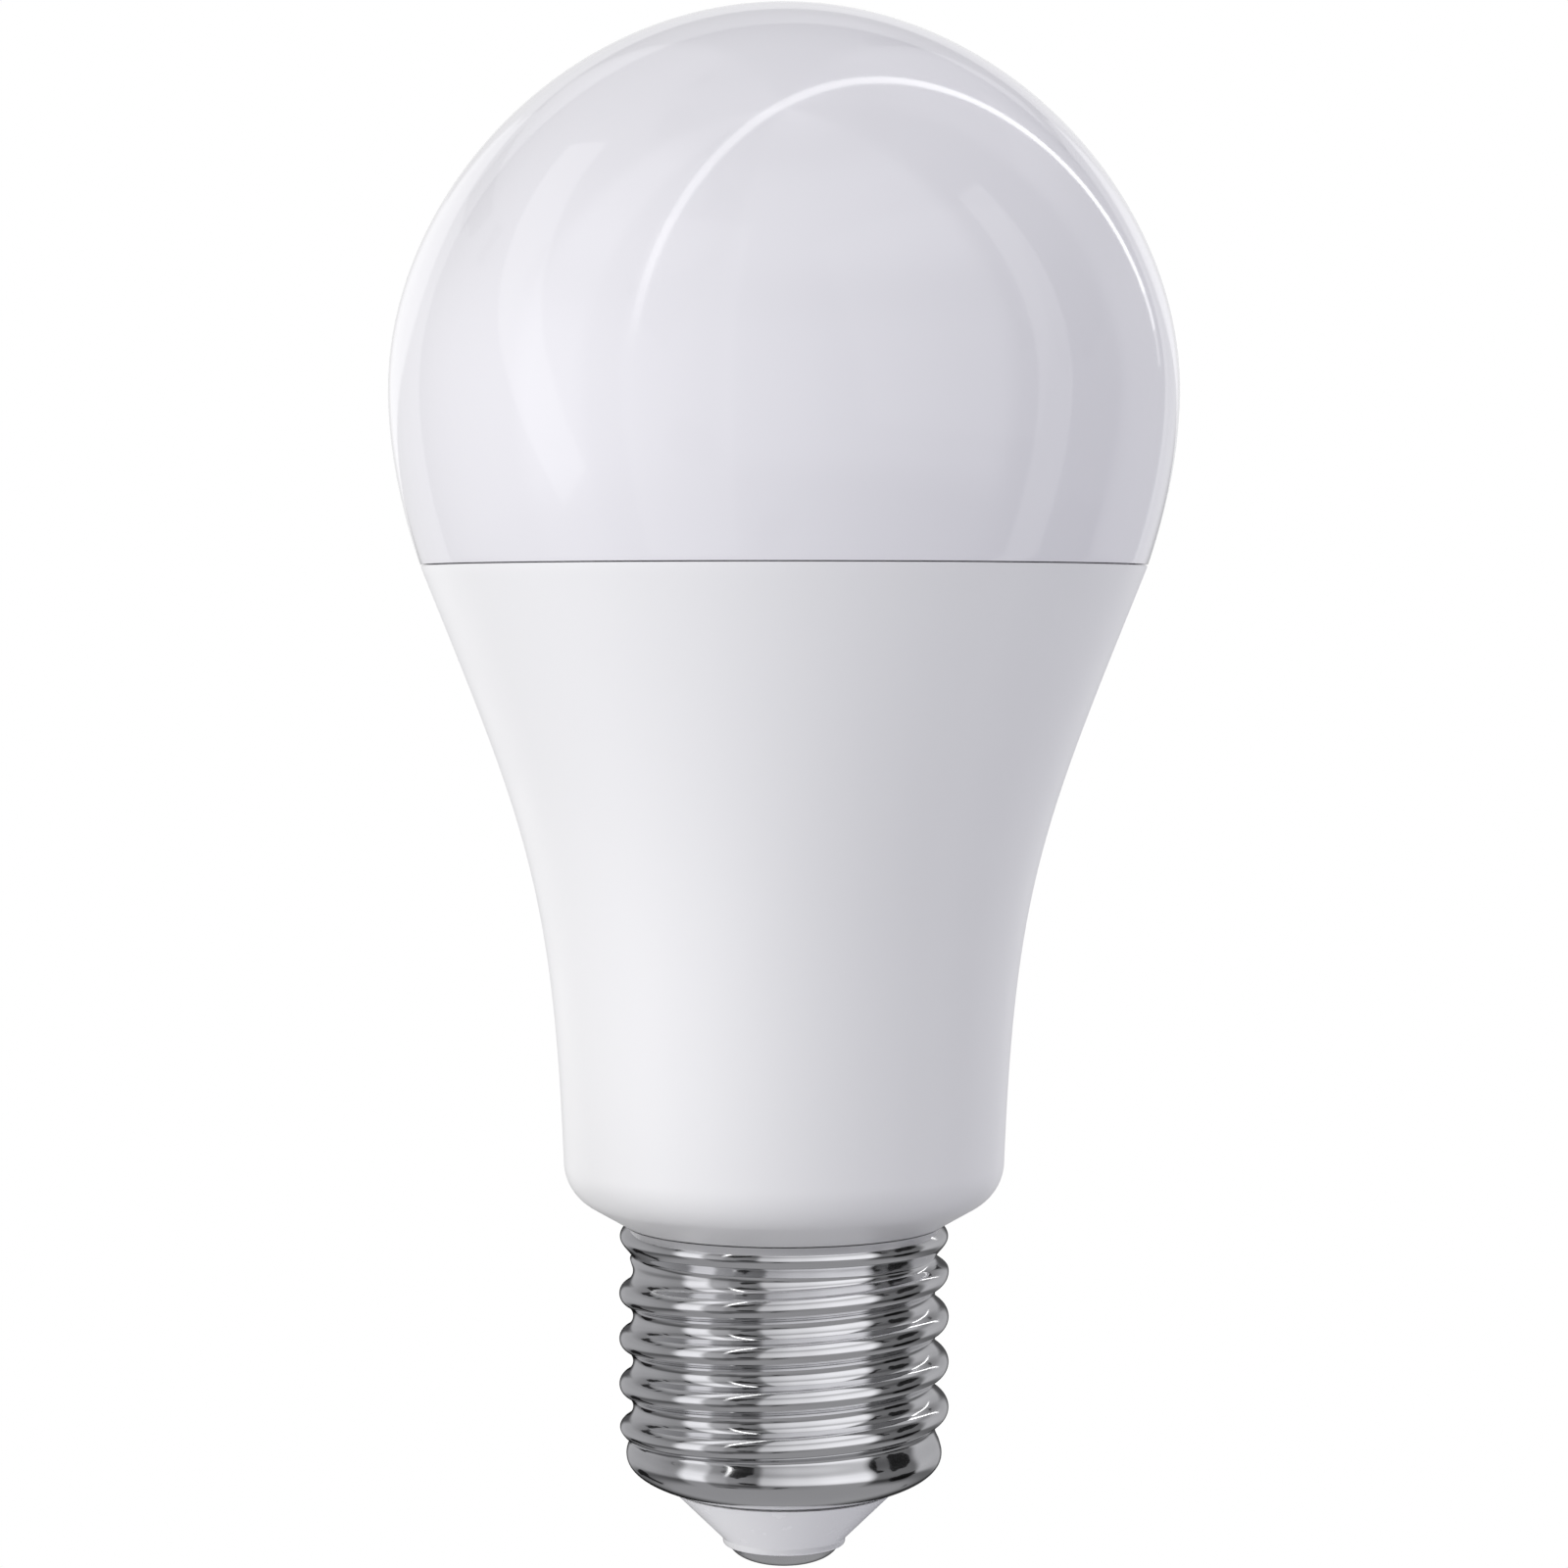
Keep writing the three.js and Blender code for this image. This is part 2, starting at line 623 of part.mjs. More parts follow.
function screwShell() {
  const side = [];
  for (let row = 0; row <= SHELL_ROWS; row += 1) {
    const z = THREE.MathUtils.lerp(FOOT_BEAD.z, SHELL_TOP, row / SHELL_ROWS);
    side.push(point(SHELL_ROOT_RADIUS + beads(z), z));
  }
  const outerCurl = shellCurl(0);
  const innerCurl = shellCurl(SHELL_SHEET).reverse();
  const inside = side.map(({ x, y }) => point(x - SHELL_SHEET, y)).reverse();
  const geometry = ring(joined(outerCurl, side, inside, innerCurl), CAP_SEGMENTS);
  const position = geometry.attributes.position;
  for (let at = 0; at < position.count; at += 1) {
    const [x, y, z] = [position.getX(at), position.getY(at), position.getZ(at)];
    const radius = Math.hypot(x, y);
    const grow = (radius + threadLift(Math.atan2(y, x), z)) / radius;
    position.setXY(at, x * grow, y * grow);
  }
  return geometry;
}

// Moulded cone between the shell and the contact, hollow from above, bored for the live wire.
function capInsulator() {
  const bore = CONTACT_STEM_RADIUS + 2 * FIT_GAP;
  const seat = CONTACT_RIM + 0.5 + FIT_GAP;
  const lipInner = CONTACT_RADIUS + REST_GAP;
  const [flangeFoot, flangeTop] = [INSULATOR_SHOULDER + 1.3, INSULATOR_SHOULDER + 2.7];
  const outline = [
    point(bore, seat),
    point(lipInner, seat),
    point(lipInner, LIP_FOOT + 0.1),
    point(lipInner + 0.1, LIP_FOOT),
    point(LIP_RADIUS - 0.1, LIP_FOOT),
    point(LIP_RADIUS, LIP_FOOT + 0.1),
    point(LIP_RADIUS, LIP_TOP),
    point(INSULATOR_RADIUS, INSULATOR_SHOULDER),
    point(INSULATOR_RADIUS, flangeFoot),
    point(INSULATOR_RADIUS + 1.2, flangeFoot),
    point(INSULATOR_RADIUS + 1.2, flangeTop),
    point(INSULATOR_RADIUS - 1.3, flangeTop),
    point(INSULATOR_RADIUS - 1.3, flangeFoot),
    point(lipInner, seat + 1.6),
    point(bore, seat + 1.6),
  ];
  return ring(outline, CAP_SEGMENTS);
}

function centreContact() {
  const corners = [
    [CONTACT_FLAT_RADIUS, 0],
    [CONTACT_RADIUS - 1.9, 0],
    [CONTACT_RADIUS, 0.4 * CONTACT_RIM],
    [CONTACT_RADIUS, CONTACT_RIM],
  ];
  const outline = joined(
    [point(0, 0)],
    bezierPoints(corners, 5),
    [point(CONTACT_RADIUS, CONTACT_RIM + 0.5), point(CONTACT_STEM_RADIUS, CONTACT_RIM + 0.5)],
    [point(CONTACT_STEM_RADIUS, CONTACT_STEM_TOP), point(0, CONTACT_STEM_TOP)],
  );
  return turned(outline, CAP_SEGMENTS);
}

// ---- assembly ----------------------------------------------------------------------------

const bulb = new THREE.Group();

function place(name, geometry, material, [x, y, z] = [0, 0, 0]) {
  const mesh = new THREE.Mesh(geometry, material());
  mesh.name = name;
  mesh.position.set(x, y, z);
  bulb.add(mesh);
  return mesh;
}

// LEDs stand on the board, each turned so that its long side points along the radius.
function placeLed(name, { ringRadius, size }, degrees, material) {
  const angle = THREE.MathUtils.degToRad(degrees);
  const where = [ringRadius * Math.cos(angle), ringRadius * Math.sin(angle), LED_BOARD_TOP + REST_GAP];
  place(name, ledPackage(size), material, where).rotation.z = angle;
}

place("diffuser_dome", diffuserDome(), opalPolycarbonate);
place("dome_adhesive", domeAdhesive(), clearSilicone);
place("outer_housing", outerHousing(), whitePolymer);
place("heat_sink_cup", heatSinkCup(), drawnAluminium);
place("thermal_grease", thermalGrease(), greyGrease);
place("led_board", ledBoard(), whiteSolderMask);

for (let at = 0; at < WHITE_LED.count; at += 1) {
  const cool = at % 2 === 0;
  const name = `${cool ? "cool" : "warm"}_white_led_${Math.floor(at / 2) + 1}`;
  const degrees = (360 / WHITE_LED.count) * (at + 0.5);
  placeLed(name, WHITE_LED, degrees, cool ? coolPhosphor : warmPhosphor);
}
for (let at = 0; at < RGB_LED.count; at += 1) {
  placeLed(`rgb_led_${at + 1}`, RGB_LED, (360 / RGB_LED.count) * at, rgbPackage);
}
screwPlaces().forEach(([x, y], at) => {
  place(`board_screw_${at + 1}`, boardScrew(), zincSteel, [x, y, LED_BOARD_TOP + REST_GAP]);
});

place("driver_board", driverBoard(), greenBoard);
place("bridge_rectifier", boardBlock(1, [6.5, 2.4, 5.0]), blackEpoxy, [-7, 0, 40]);
place("driver_ic", boardBlock(1, [4.9, 1.5, 3.9]), blackEpoxy, [5, 0, 42]);
place("led_driver_ic", boardBlock(1, [9.9, 1.5, 3.9]), blackEpoxy, [0, 0, 53]);
place("input_capacitor", canCapacitor(4, 13), capacitorSleeve, [7.5, -4.9, 51.5]);
place("output_capacitor", canCapacitor(4, 12), capacitorSleeve, [8, -4.9, 36]);
place("transformer_core", transformerCore(), ferrite, [-5.5, -6.2, 58]);
place("transformer_winding", transformerWinding(), copperWinding, [-5.5, -6.2, 58]);
place("choke_core", chokeCore(), ferrite, [-9, -4.2, 38]);
place("choke_winding", chokeWinding(), copperWinding, [-9, -4.2, 38]);
place("varistor", varistor(), blueEpoxy, [0, -2.3, 42]);
place("fuse_resistor", fuseResistor(), resistorBody, [0, -3.2, 0]);
place("fuse_sleeve", fuseSleeve(), heatShrink, [0, -3.2, 0]);

place("wireless_module_board", moduleBoard(), greenBoard);
place("wireless_shield_can", moduleShield(), tinnedSteel);
place("module_pin_header", moduleHeader(), blackEpoxy);
place("led_pin_header", ledHeader(), blackEpoxy);

const liveRoute = [[0, 0, 4.7], [0, 0, 8], [0, -1, 11], [0, -2.8, 13.6], [0, -3.2, 15.6]];
const neutralRoute = [[5, 1.7, 24], [5.2, 1.7, 18], [6.2, 1.6, 13], [8.2, 1.0, 10.7], [11.1, 0.4, 10.3]];
place("live_wire", tube(liveRoute, 0.6, 10), redInsulation);
place("neutral_wire", tube(neutralRoute, 0.55, 12), blackInsulation);

place("screw_shell", screwShell(), nickelShell);
place("cap_insulator", capInsulator(), whiteInsulator);
place("centre_contact", centreContact(), nickelContact);

export default bulb;
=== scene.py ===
"""Looks for the smart light bulb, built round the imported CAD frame. Metres, +Z towards the dome."""
import math

import bmesh
import bpy
from mathutils import Matrix, Vector


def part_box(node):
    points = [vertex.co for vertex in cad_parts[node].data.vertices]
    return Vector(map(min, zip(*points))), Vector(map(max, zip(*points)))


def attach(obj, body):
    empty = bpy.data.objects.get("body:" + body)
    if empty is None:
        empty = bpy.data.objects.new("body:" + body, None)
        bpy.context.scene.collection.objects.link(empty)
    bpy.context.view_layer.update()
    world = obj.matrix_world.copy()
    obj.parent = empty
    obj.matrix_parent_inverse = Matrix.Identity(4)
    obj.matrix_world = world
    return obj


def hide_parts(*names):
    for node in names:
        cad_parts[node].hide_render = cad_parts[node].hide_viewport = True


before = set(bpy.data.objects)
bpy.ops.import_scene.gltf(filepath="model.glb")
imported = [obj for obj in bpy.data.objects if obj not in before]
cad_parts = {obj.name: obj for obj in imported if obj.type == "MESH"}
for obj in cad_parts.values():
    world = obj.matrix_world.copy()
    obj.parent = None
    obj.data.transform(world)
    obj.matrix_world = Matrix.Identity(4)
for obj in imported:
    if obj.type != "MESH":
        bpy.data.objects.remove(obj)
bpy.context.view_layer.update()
BODY = "root"
MM = 0.001

# ---- driving dimensions, from the frame where a CAD node gives them ----

dome_low, dome_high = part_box("diffuser_dome")
housing_low, housing_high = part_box("outer_housing")
shell_low, shell_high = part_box("screw_shell")
insulator_low, insulator_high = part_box("cap_insulator")
_, contact_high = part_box("centre_contact")
_, driver_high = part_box("driver_board")

DOME_RADIUS = dome_high.x
DOME_TOP = dome_high.z
DOME_WIDEST = 93.3 * MM
CROWN_SIDE_HANDLE = 15.3 * MM
CROWN_TOP_HANDLE = 17.15 * MM
WAIST_HANDLES = [(30.1 * MM, 83.65 * MM), (DOME_RADIUS, 88.4 * MM)]
SEAM = housing_high.z + 0.15 * MM
SEAM_RADIUS = 28.75 * MM
SEAM_GAP = 0.08 * MM
HOUSING_FOOT = 32.4 * MM
HOUSING_FOOT_RADIUS = 17.55 * MM
HOUSING_CORNER = 4.0 * MM
HOUSING_CORNER_TURN = math.radians(60)
HOUSING_HANDLES = [(18.4 * MM, 54.5 * MM), (20.7 * MM, 59.55 * MM)]
SPIGOT_RADIUS = 11.2 * MM
SPIGOT_WALL = 1.2 * MM
CAP_GAP = 0.08 * MM
WALL = 1.3 * MM
SKIRT_WALL = 1.1 * MM
FIT_GAP = 0.3 * MM

THREAD_RADIUS = 13.15 * MM
THREAD_PITCH = 3.629 * MM
THREAD_ARC = 1.025 * MM
THREAD_DEPTH = 2 * THREAD_ARC - math.sqrt((2 * THREAD_ARC) ** 2 - (THREAD_PITCH / 2) ** 2)
THREAD_CREST_AT_X = 12.6 * MM
THREAD_FADE_LOW = (8.9 * MM, 11.2 * MM)
THREAD_FADE_HIGH = (23.7 * MM, 25.0 * MM)
SHELL_SHEET = 0.4 * MM
SHELL_ROOT = THREAD_RADIUS - THREAD_DEPTH
TOP_BEAD = {"z": 26.3 * MM, "radius": 13.1 * MM, "reach": 1.9 * MM}
FOOT_BEAD = {"z": 8.9 * MM, "radius": 12.6 * MM, "reach": 2.0 * MM}
SHELL_FOOT = shell_low.z
SHELL_FOOT_RADIUS = 9.0 * MM
SHELL_RIM = 0.12 * MM
SHELL_ROWS = 150
NECK_RADIUS = 8.5 * MM
NECK_GAP = 0.14 * MM
LIP_RADIUS = 4.9 * MM
LIP_TOP = 2.05 * MM
CONTACT_FLAT_RADIUS = 1.0 * MM
CONTACT_RIM = 1.7 * MM
CONTACT_STEM_RADIUS = 1.5 * MM

CAMERA_LENS = 91.96
CAMERA_SENSOR = 36.0
CAMERA_PLACE = Vector((0.0, -318.05 * MM, 75.7 * MM))
CAMERA_PITCH = math.radians(2.41)
STUDIO_CENTRE = Vector((0.0, 0.0, 93.0 * MM))
FLOOR_DROP = 450 * MM
FLOOR_HALF = 30.0

ROUNDING_STEPS = 4
QUARTER_STEPS = 6
SHARP_ANGLE = math.radians(32)
NOISE_RANGE = (0.3, 0.7)


# ---- outlines ----

def lerp(a, b, t):
    return a + (b - a) * t


def smoothstep(x, low, high):
    t = min(max((x - low) / (high - low), 0.0), 1.0)
    return t * t * (3 - 2 * t)


def bezier(corners, steps):
    """Points (r, z) along a cubic Bezier curve, both ends included."""
    a, b, c, d = (Vector(corner) for corner in corners)
    points = []
    for step in range(steps + 1):
        t = step / steps
        s = 1 - t
        points.append(tuple(a * s ** 3 + b * 3 * s * s * t + c * 3 * s * t * t + d * t ** 3))
    return points


def arc(centre, radius, start, end, steps):
    """Points (r, z) along a circle's arc, angles in radians from the +r direction."""
    angles = (lerp(start, end, step / steps) for step in range(steps + 1))
    return [(centre[0] + radius * math.cos(a), centre[1] + radius * math.sin(a)) for a in angles]


def rounded(points, radii):
    """The closed outline with the corners at the given indexes rounded off to the given radii."""
    done = []
    for at, corner in enumerate(points):
        if at not in radii:
            done.append(corner)
            continue
        here = Vector(corner)
        to_last = (Vector(points[at - 1]) - here).normalized()
        to_next = (Vector(points[(at + 1) % len(points)]) - here).normalized()
        half = to_last.angle(to_next) / 2
        reach = radii[at] / math.tan(half)
        middle = here + (to_last + to_next).normalized() * (radii[at] / math.sin(half))
        first = here + to_last * reach - middle
        turn = first.angle_signed(here + to_next * reach - middle)
        for step in range(ROUNDING_STEPS + 1):
            spoke = first.copy()
            spoke.rotate(Matrix.Rotation(-turn * step / ROUNDING_STEPS, 2))
            done.append(tuple(middle + spoke))
    return done


def dome_crown(inset, steps):
    """The dome's outline from its widest circle to its top, drawn in by a wall thickness."""
    radius = DOME_RADIUS - inset
    top = DOME_TOP - inset
    grow = radius / DOME_RADIUS
    handle = DOME_WIDEST + CROWN_SIDE_HANDLE * grow
    corners = [(radius, DOME_WIDEST), (radius, handle), (CROWN_TOP_HANDLE * grow, top), (0.0, top)]
    return bezier(corners, steps)


def drawn_in(corners, inset, steps):
    """A curve whose corners (r, z) are all drawn in towards the axis by a wall thickness."""
    return bezier([(r - inset, z) for r, z in corners], steps)


def dome_waist(inset, steps):
    """The dome's outline from the seam up to its widest circle."""
    return drawn_in([(SEAM_RADIUS, SEAM), *WAIST_HANDLES, (DOME_RADIUS, DOME_WIDEST)], inset, steps)


def housing_side(inset, steps):
    """The housing's flared side from its foot up to the seam."""
    foot = (HOUSING_FOOT_RADIUS, HOUSING_FOOT)
    return drawn_in([foot, *HOUSING_HANDLES, (SEAM_RADIUS, SEAM)], inset, steps)


SIDE_LINE = housing_side(0.0, 240)


def housing_radius(z):
    """The housing's outer radius at a height, read off its side line."""
    for (r_low, z_low), (r_high, z_high) in zip(SIDE_LINE, SIDE_LINE[1:]):
        if z <= z_high:
            return lerp(r_low, r_high, (z - z_low) / (z_high - z_low))
    return SIDE_LINE[-1][0]


# ---- meshes ----

def finish_mesh(name, bm):
    """Turns a bmesh into a smooth-shaded object with its sharp edges kept."""
    bmesh.ops.remove_doubles(bm, verts=bm.verts, dist=1e-8)
    bmesh.ops.recalc_face_normals(bm, faces=bm.faces)
    mesh = bpy.data.meshes.new(name)
    bm.to_mesh(mesh)
    bm.free()
    mesh.shade_smooth()
    mesh.set_sharp_from_angle(angle=SHARP_ANGLE)
    piece = bpy.data.objects.new(name, mesh)
    bpy.context.scene.collection.objects.link(piece)
    return piece


def no_lift(angle, z):
    return 0.0


def turned(name, outline, segments=160, closed=True, lift=no_lift):
    """A body turned round Z from points (r, z), with an optional lift of the radius."""
    bm = bmesh.new()
    columns = []
    for column in range(segments):
        angle = 2 * math.pi * column / segments
        spokes = []
        for r, z in outline:
            reach = r + lift(angle, z)
            spokes.append(bm.verts.new((reach * math.cos(angle), reach * math.sin(angle), z)))
        columns.append(spokes)
    last = len(outline) if closed else len(outline) - 1
    for column in range(segments):
        here, there = columns[column], columns[(column + 1) % segments]
        for row in range(last):
            above = (row + 1) % len(outline)
            bm.faces.new((here[row], there[row], there[above], here[above]))
    return finish_mesh(name, bm)


# ---- materials ----

def feed(tree, node, inputs):
    """Sets each input of a node to a value, or links it to another node's output."""
    for name, value in inputs.items():
        if isinstance(value, bpy.types.NodeSocket):
            tree.links.new(value, node.inputs[name])
        else:
            node.inputs[name].default_value = value


def new_node(tree, kind, inputs=None, **settings):
    """Adds a shader node with its settings and its inputs."""
    node = tree.nodes.new("ShaderNode" + kind)
    for name, value in settings.items():
        setattr(node, name, value)
    feed(tree, node, inputs or {})
    return node


def maths(tree, operation, first, second=0.0):
    return new_node(tree, "Math", {0: first, 1: second}, operation=operation).outputs["Value"]


def mixed(tree, factor, low, high, blend="MIX"):
    """Blends two colours, each given as a value or as an output."""
    inputs = {"Factor": factor, "A": low, "B": high}
    return new_node(tree, "Mix", inputs, data_type="RGBA", blend_type=blend).outputs["Result"]


def procedural(name, colours, mottle, roughness, grain, bump, metallic=0.0, stretch=(1, 1, 1), **fixed):
    """A Principled material whose colour, roughness and surface all vary by noise.

    colours: two close tints; mottle: the size of their patches in metres; roughness: its lowest
    and highest value; grain: the size of the surface's grain; bump: its height in metres.
    """
    material = bpy.data.materials.new(name)
    material.use_nodes = True
    tree = material.node_tree
    place = new_node(tree, "TexCoord").outputs["Object"]
    scaled = new_node(tree, "Mapping", {"Vector": place, "Scale": stretch}).outputs["Vector"]

    def noise(size, detail):
        inputs = {"Vector": scaled, "Scale": 1 / size, "Detail": detail}
        return new_node(tree, "TexNoise", inputs).outputs["Fac"]

    low_tint, high_tint = ((*tint, 1.0) for tint in colours)
    colour = mixed(tree, noise(mottle, 3.0), low_tint, high_tint)
    gloss = new_node(tree, "MapRange", {
        "Value": noise(mottle / 3, 4.0), "From Min": NOISE_RANGE[0], "From Max": NOISE_RANGE[1],
        "To Min": roughness[0], "To Max": roughness[1]})
    relief = new_node(tree, "Bump", {"Height": noise(grain, 2.0), "Strength": 1.0, "Distance": bump})
    feed(tree, tree.nodes["Principled BSDF"], {
        "Base Color": colour,
        "Roughness": gloss.outputs["Result"],
        "Normal": relief.outputs["Normal"],
        "Metallic": metallic,
        **{socket.replace("_", " "): value for socket, value in fixed.items()}})
    return material


def opal_diffuser():
    return procedural(
        "opal_diffuser", [(0.818, 0.809, 0.843), (0.829, 0.822, 0.853)], 18 * MM, (0.05, 0.07),
        grain=3.0 * MM, bump=0.001 * MM, IOR=1.5)


def white_housing():
    return procedural(
        "white_housing", [(0.866, 0.862, 0.872), (0.876, 0.873, 0.881)], 14 * MM, (0.30, 0.37),
        grain=0.22 * MM, bump=0.003 * MM, IOR=1.46)


def nickel_shell():
    return procedural(
        "nickel_shell", [(0.70, 0.70, 0.71), (0.78, 0.78, 0.79)], 5 * MM, (0.06, 0.11),
        grain=1.1 * MM, bump=0.0006 * MM, metallic=1.0, stretch=(1, 1, 3))


def white_insulator():
    return procedural(
        "white_insulator", [(0.835, 0.832, 0.846), (0.850, 0.848, 0.858)], 4 * MM, (0.24, 0.28),
        grain=0.3 * MM, bump=0.0006 * MM, IOR=1.5)


def nickel_contact():
    return procedural(
        "nickel_contact", [(0.76, 0.76, 0.77), (0.84, 0.84, 0.85)], 1.5 * MM, (0.20, 0.28),
        grain=0.25 * MM, bump=0.0008 * MM, metallic=1.0)


# Finishes of the parts inside. Each line gives two close tints, the size of their patches, the
# lowest and highest roughness, the size and height of the grain (all in mm), and how metallic.
INSIDE_FINISHES = {
    "clear_silicone": ((0.78, 0.80, 0.80), (0.86, 0.87, 0.86), 4.0, (0.18, 0.34), 0.9, 0.02, 0.0),
    "drawn_aluminium": ((0.72, 0.73, 0.74), (0.82, 0.83, 0.84), 6.0, (0.22, 0.40), 0.25, 0.008, 1.0),
    "thermal_grease": ((0.60, 0.61, 0.62), (0.70, 0.71, 0.72), 3.0, (0.45, 0.65), 0.6, 0.03, 0.0),
    "white_led_board": ((0.80, 0.80, 0.79), (0.87, 0.87, 0.86), 5.0, (0.28, 0.40), 0.3, 0.004, 0.0),
    "white_led_frame": ((0.84, 0.84, 0.83), (0.89, 0.89, 0.88), 0.8, (0.30, 0.42), 0.1, 0.003, 0.0),
    "cool_phosphor": ((0.86, 0.74, 0.20), (0.92, 0.82, 0.32), 0.5, (0.32, 0.48), 0.06, 0.006, 0.0),
    "warm_phosphor": ((0.88, 0.50, 0.12), (0.94, 0.60, 0.20), 0.5, (0.32, 0.48), 0.06, 0.006, 0.0),
    "rgb_package": ((0.82, 0.82, 0.81), (0.88, 0.88, 0.87), 1.0, (0.30, 0.42), 0.12, 0.004, 0.0),
    "clear_gel": ((0.70, 0.70, 0.66), (0.78, 0.78, 0.74), 0.8, (0.06, 0.12), 0.3, 0.002, 0.0),
    "red_die": ((0.52, 0.10, 0.07), (0.62, 0.16, 0.10), 0.1, (0.20, 0.35), 0.05, 0.002, 0.3),
    "green_die": ((0.10, 0.42, 0.16), (0.16, 0.52, 0.22), 0.1, (0.20, 0.35), 0.05, 0.002, 0.3),
    "blue_die": ((0.08, 0.16, 0.50), (0.14, 0.24, 0.60), 0.1, (0.20, 0.35), 0.05, 0.002, 0.3),
    "zinc_screw": ((0.62, 0.64, 0.67), (0.76, 0.76, 0.74), 0.8, (0.20, 0.38), 0.15, 0.004, 1.0),
    "black_epoxy": ((0.022, 0.022, 0.024), (0.040, 0.040, 0.042), 1.2, (0.42, 0.60), 0.1, 0.008, 0.0),
    "capacitor_sleeve": ((0.020, 0.024, 0.040), (0.040, 0.046, 0.070), 4.0, (0.22, 0.36), 0.5, 0.006, 0.0),
    "capacitor_lid": ((0.74, 0.74, 0.74), (0.84, 0.84, 0.84), 1.5, (0.25, 0.40), 0.12, 0.004, 1.0),
    "ferrite": ((0.040, 0.039, 0.038), (0.075, 0.073, 0.070), 1.5, (0.48, 0.68), 0.12, 0.02, 0.0),
    "copper_winding": ((0.56, 0.20, 0.075), (0.72, 0.31, 0.13), 1.5, (0.20, 0.34), 0.2, 0.004, 1.0),
    "blue_epoxy": ((0.020, 0.10, 0.36), (0.035, 0.15, 0.46), 2.0, (0.22, 0.36), 0.5, 0.02, 0.0),
    "resistor_body": ((0.42, 0.55, 0.60), (0.52, 0.64, 0.68), 1.0, (0.35, 0.50), 0.2, 0.008, 0.0),
    "heat_shrink": ((0.030, 0.030, 0.031), (0.055, 0.055, 0.056), 2.5, (0.35, 0.50), 0.35, 0.02, 0.0),
    "tinned_steel": ((0.66, 0.67, 0.68), (0.80, 0.80, 0.81), 2.0, (0.18, 0.34), 0.2, 0.004, 1.0),
    "red_wire": ((0.50, 0.025, 0.020), (0.62, 0.045, 0.032), 2.0, (0.30, 0.44), 0.3, 0.006, 0.0),
    "black_wire": ((0.022, 0.022, 0.022), (0.045, 0.045, 0.046), 2.0, (0.30, 0.44), 0.3, 0.006, 0.0),
}


def inside_finish(name):
    """The procedural material of a part inside the lamp."""
    low_tint, high_tint, patch, roughness, grain, height, metallic = INSIDE_FINISHES[name]
    return procedural(
        name, [low_tint, high_tint], patch * MM, roughness, grain * MM, height * MM, metallic=metallic)


# Copper areas under the solder mask: the grid they keep to, their share of the board, their tint.
COPPER_GRID = (1.9 * MM, 100 * MM, 1.2 * MM)
COPPER_SHARE = 0.42
COPPER_TINT = (0.028, 0.190, 0.076, 1.0)


def green_circuit_board():
    """Solder mask with square-cornered copper areas that show through it as a lighter green."""
    material = procedural(
        "green_circuit_board", [(0.012, 0.105, 0.040), (0.018, 0.135, 0.052)], 5 * MM, (0.22, 0.34),
        grain=0.35 * MM, bump=0.004 * MM)
    tree = material.node_tree
    shader = tree.nodes["Principled BSDF"]
    plain = shader.inputs["Base Color"].links[0].from_socket
    place = new_node(tree, "TexCoord").outputs["Object"]
    cell = new_node(tree, "VectorMath", {0: place, 1: COPPER_GRID}, operation="SNAP")
    chance = new_node(tree, "TexWhiteNoise", {"Vector": cell.outputs["Vector"]})
    covered = maths(tree, "LESS_THAN", chance.outputs["Value"], COPPER_SHARE)
    feed(tree, shader, {"Base Color": mixed(tree, covered, plain, COPPER_TINT)})
    return material


# ---- envelope ----

def dome_piece():
    """Opal shell with the tapered skirt that plugs into the housing's rim."""
    edge = SEAM + SEAM_GAP / 2
    skirt_out = WALL + FIT_GAP
    skirt_in = skirt_out + SKIRT_WALL
    foot = dome_low.z
    waist = [p for p in dome_waist(0.0, 24) if p[1] > edge + 0.3 * MM]
    skirt_side = [(housing_radius(z) - skirt_out, z) for z in (foot, edge)]
    inside = dome_crown(WALL, 48)[::-1] + dome_waist(WALL, 16)[::-1][1:]
    skirt = [(housing_radius(SEAM) - skirt_in, SEAM - 0.2 * MM), (housing_radius(foot) - skirt_in, foot)]
    outline = [*skirt_side, (SEAM_RADIUS, edge), *waist, *dome_crown(0.0, 72)[1:], *inside, *skirt]
    return turned("opal_dome", rounded(outline, {0: 0.2 * MM, 2: 0.05 * MM}))


def housing_piece():
    """Flared body with its rounded foot, sloping underside and the spigot inside the cap."""
    rim = SEAM - SEAM_GAP / 2
    centre = (HOUSING_FOOT_RADIUS - HOUSING_CORNER, HOUSING_FOOT)
    corner = arc(centre, HOUSING_CORNER, -HOUSING_CORNER_TURN, 0.0, 16)
    inner_corner = arc(centre, HOUSING_CORNER - WALL, 0.0, -HOUSING_CORNER_TURN, 8)
    foot = shell_high.z + CAP_GAP
    slope = math.tan(math.pi / 2 - HOUSING_CORNER_TURN)
    foot_radius = corner[0][0] - (corner[0][1] - foot) / slope
    spigot_foot = housing_low.z
    bore = SPIGOT_RADIUS - SPIGOT_WALL
    spigot = [(bore, spigot_foot), (SPIGOT_RADIUS, spigot_foot), (SPIGOT_RADIUS, foot)]
    side = [p for p in housing_side(0.0, 64) if p[1] < rim - 0.5 * MM]
    rim_edges = [(housing_radius(rim), rim), (housing_radius(rim) - WALL, rim)]
    inner = [p for p in housing_side(WALL, 40) if p[1] < rim - 0.5 * MM][::-1]
    top = rounded([side[-1], *rim_edges, inner[0]], {1: 0.1 * MM, 2: 0.2 * MM})[1:-1]
    floor = (bore, foot + 1.6 * MM)
    outline = [*spigot, (foot_radius, foot), *corner, *side[1:], *top, *inner[:-1], *inner_corner, floor]
    return turned("flared_housing", rounded(outline, {0: 0.2 * MM, 1: 0.3 * MM, 3: 0.15 * MM}))


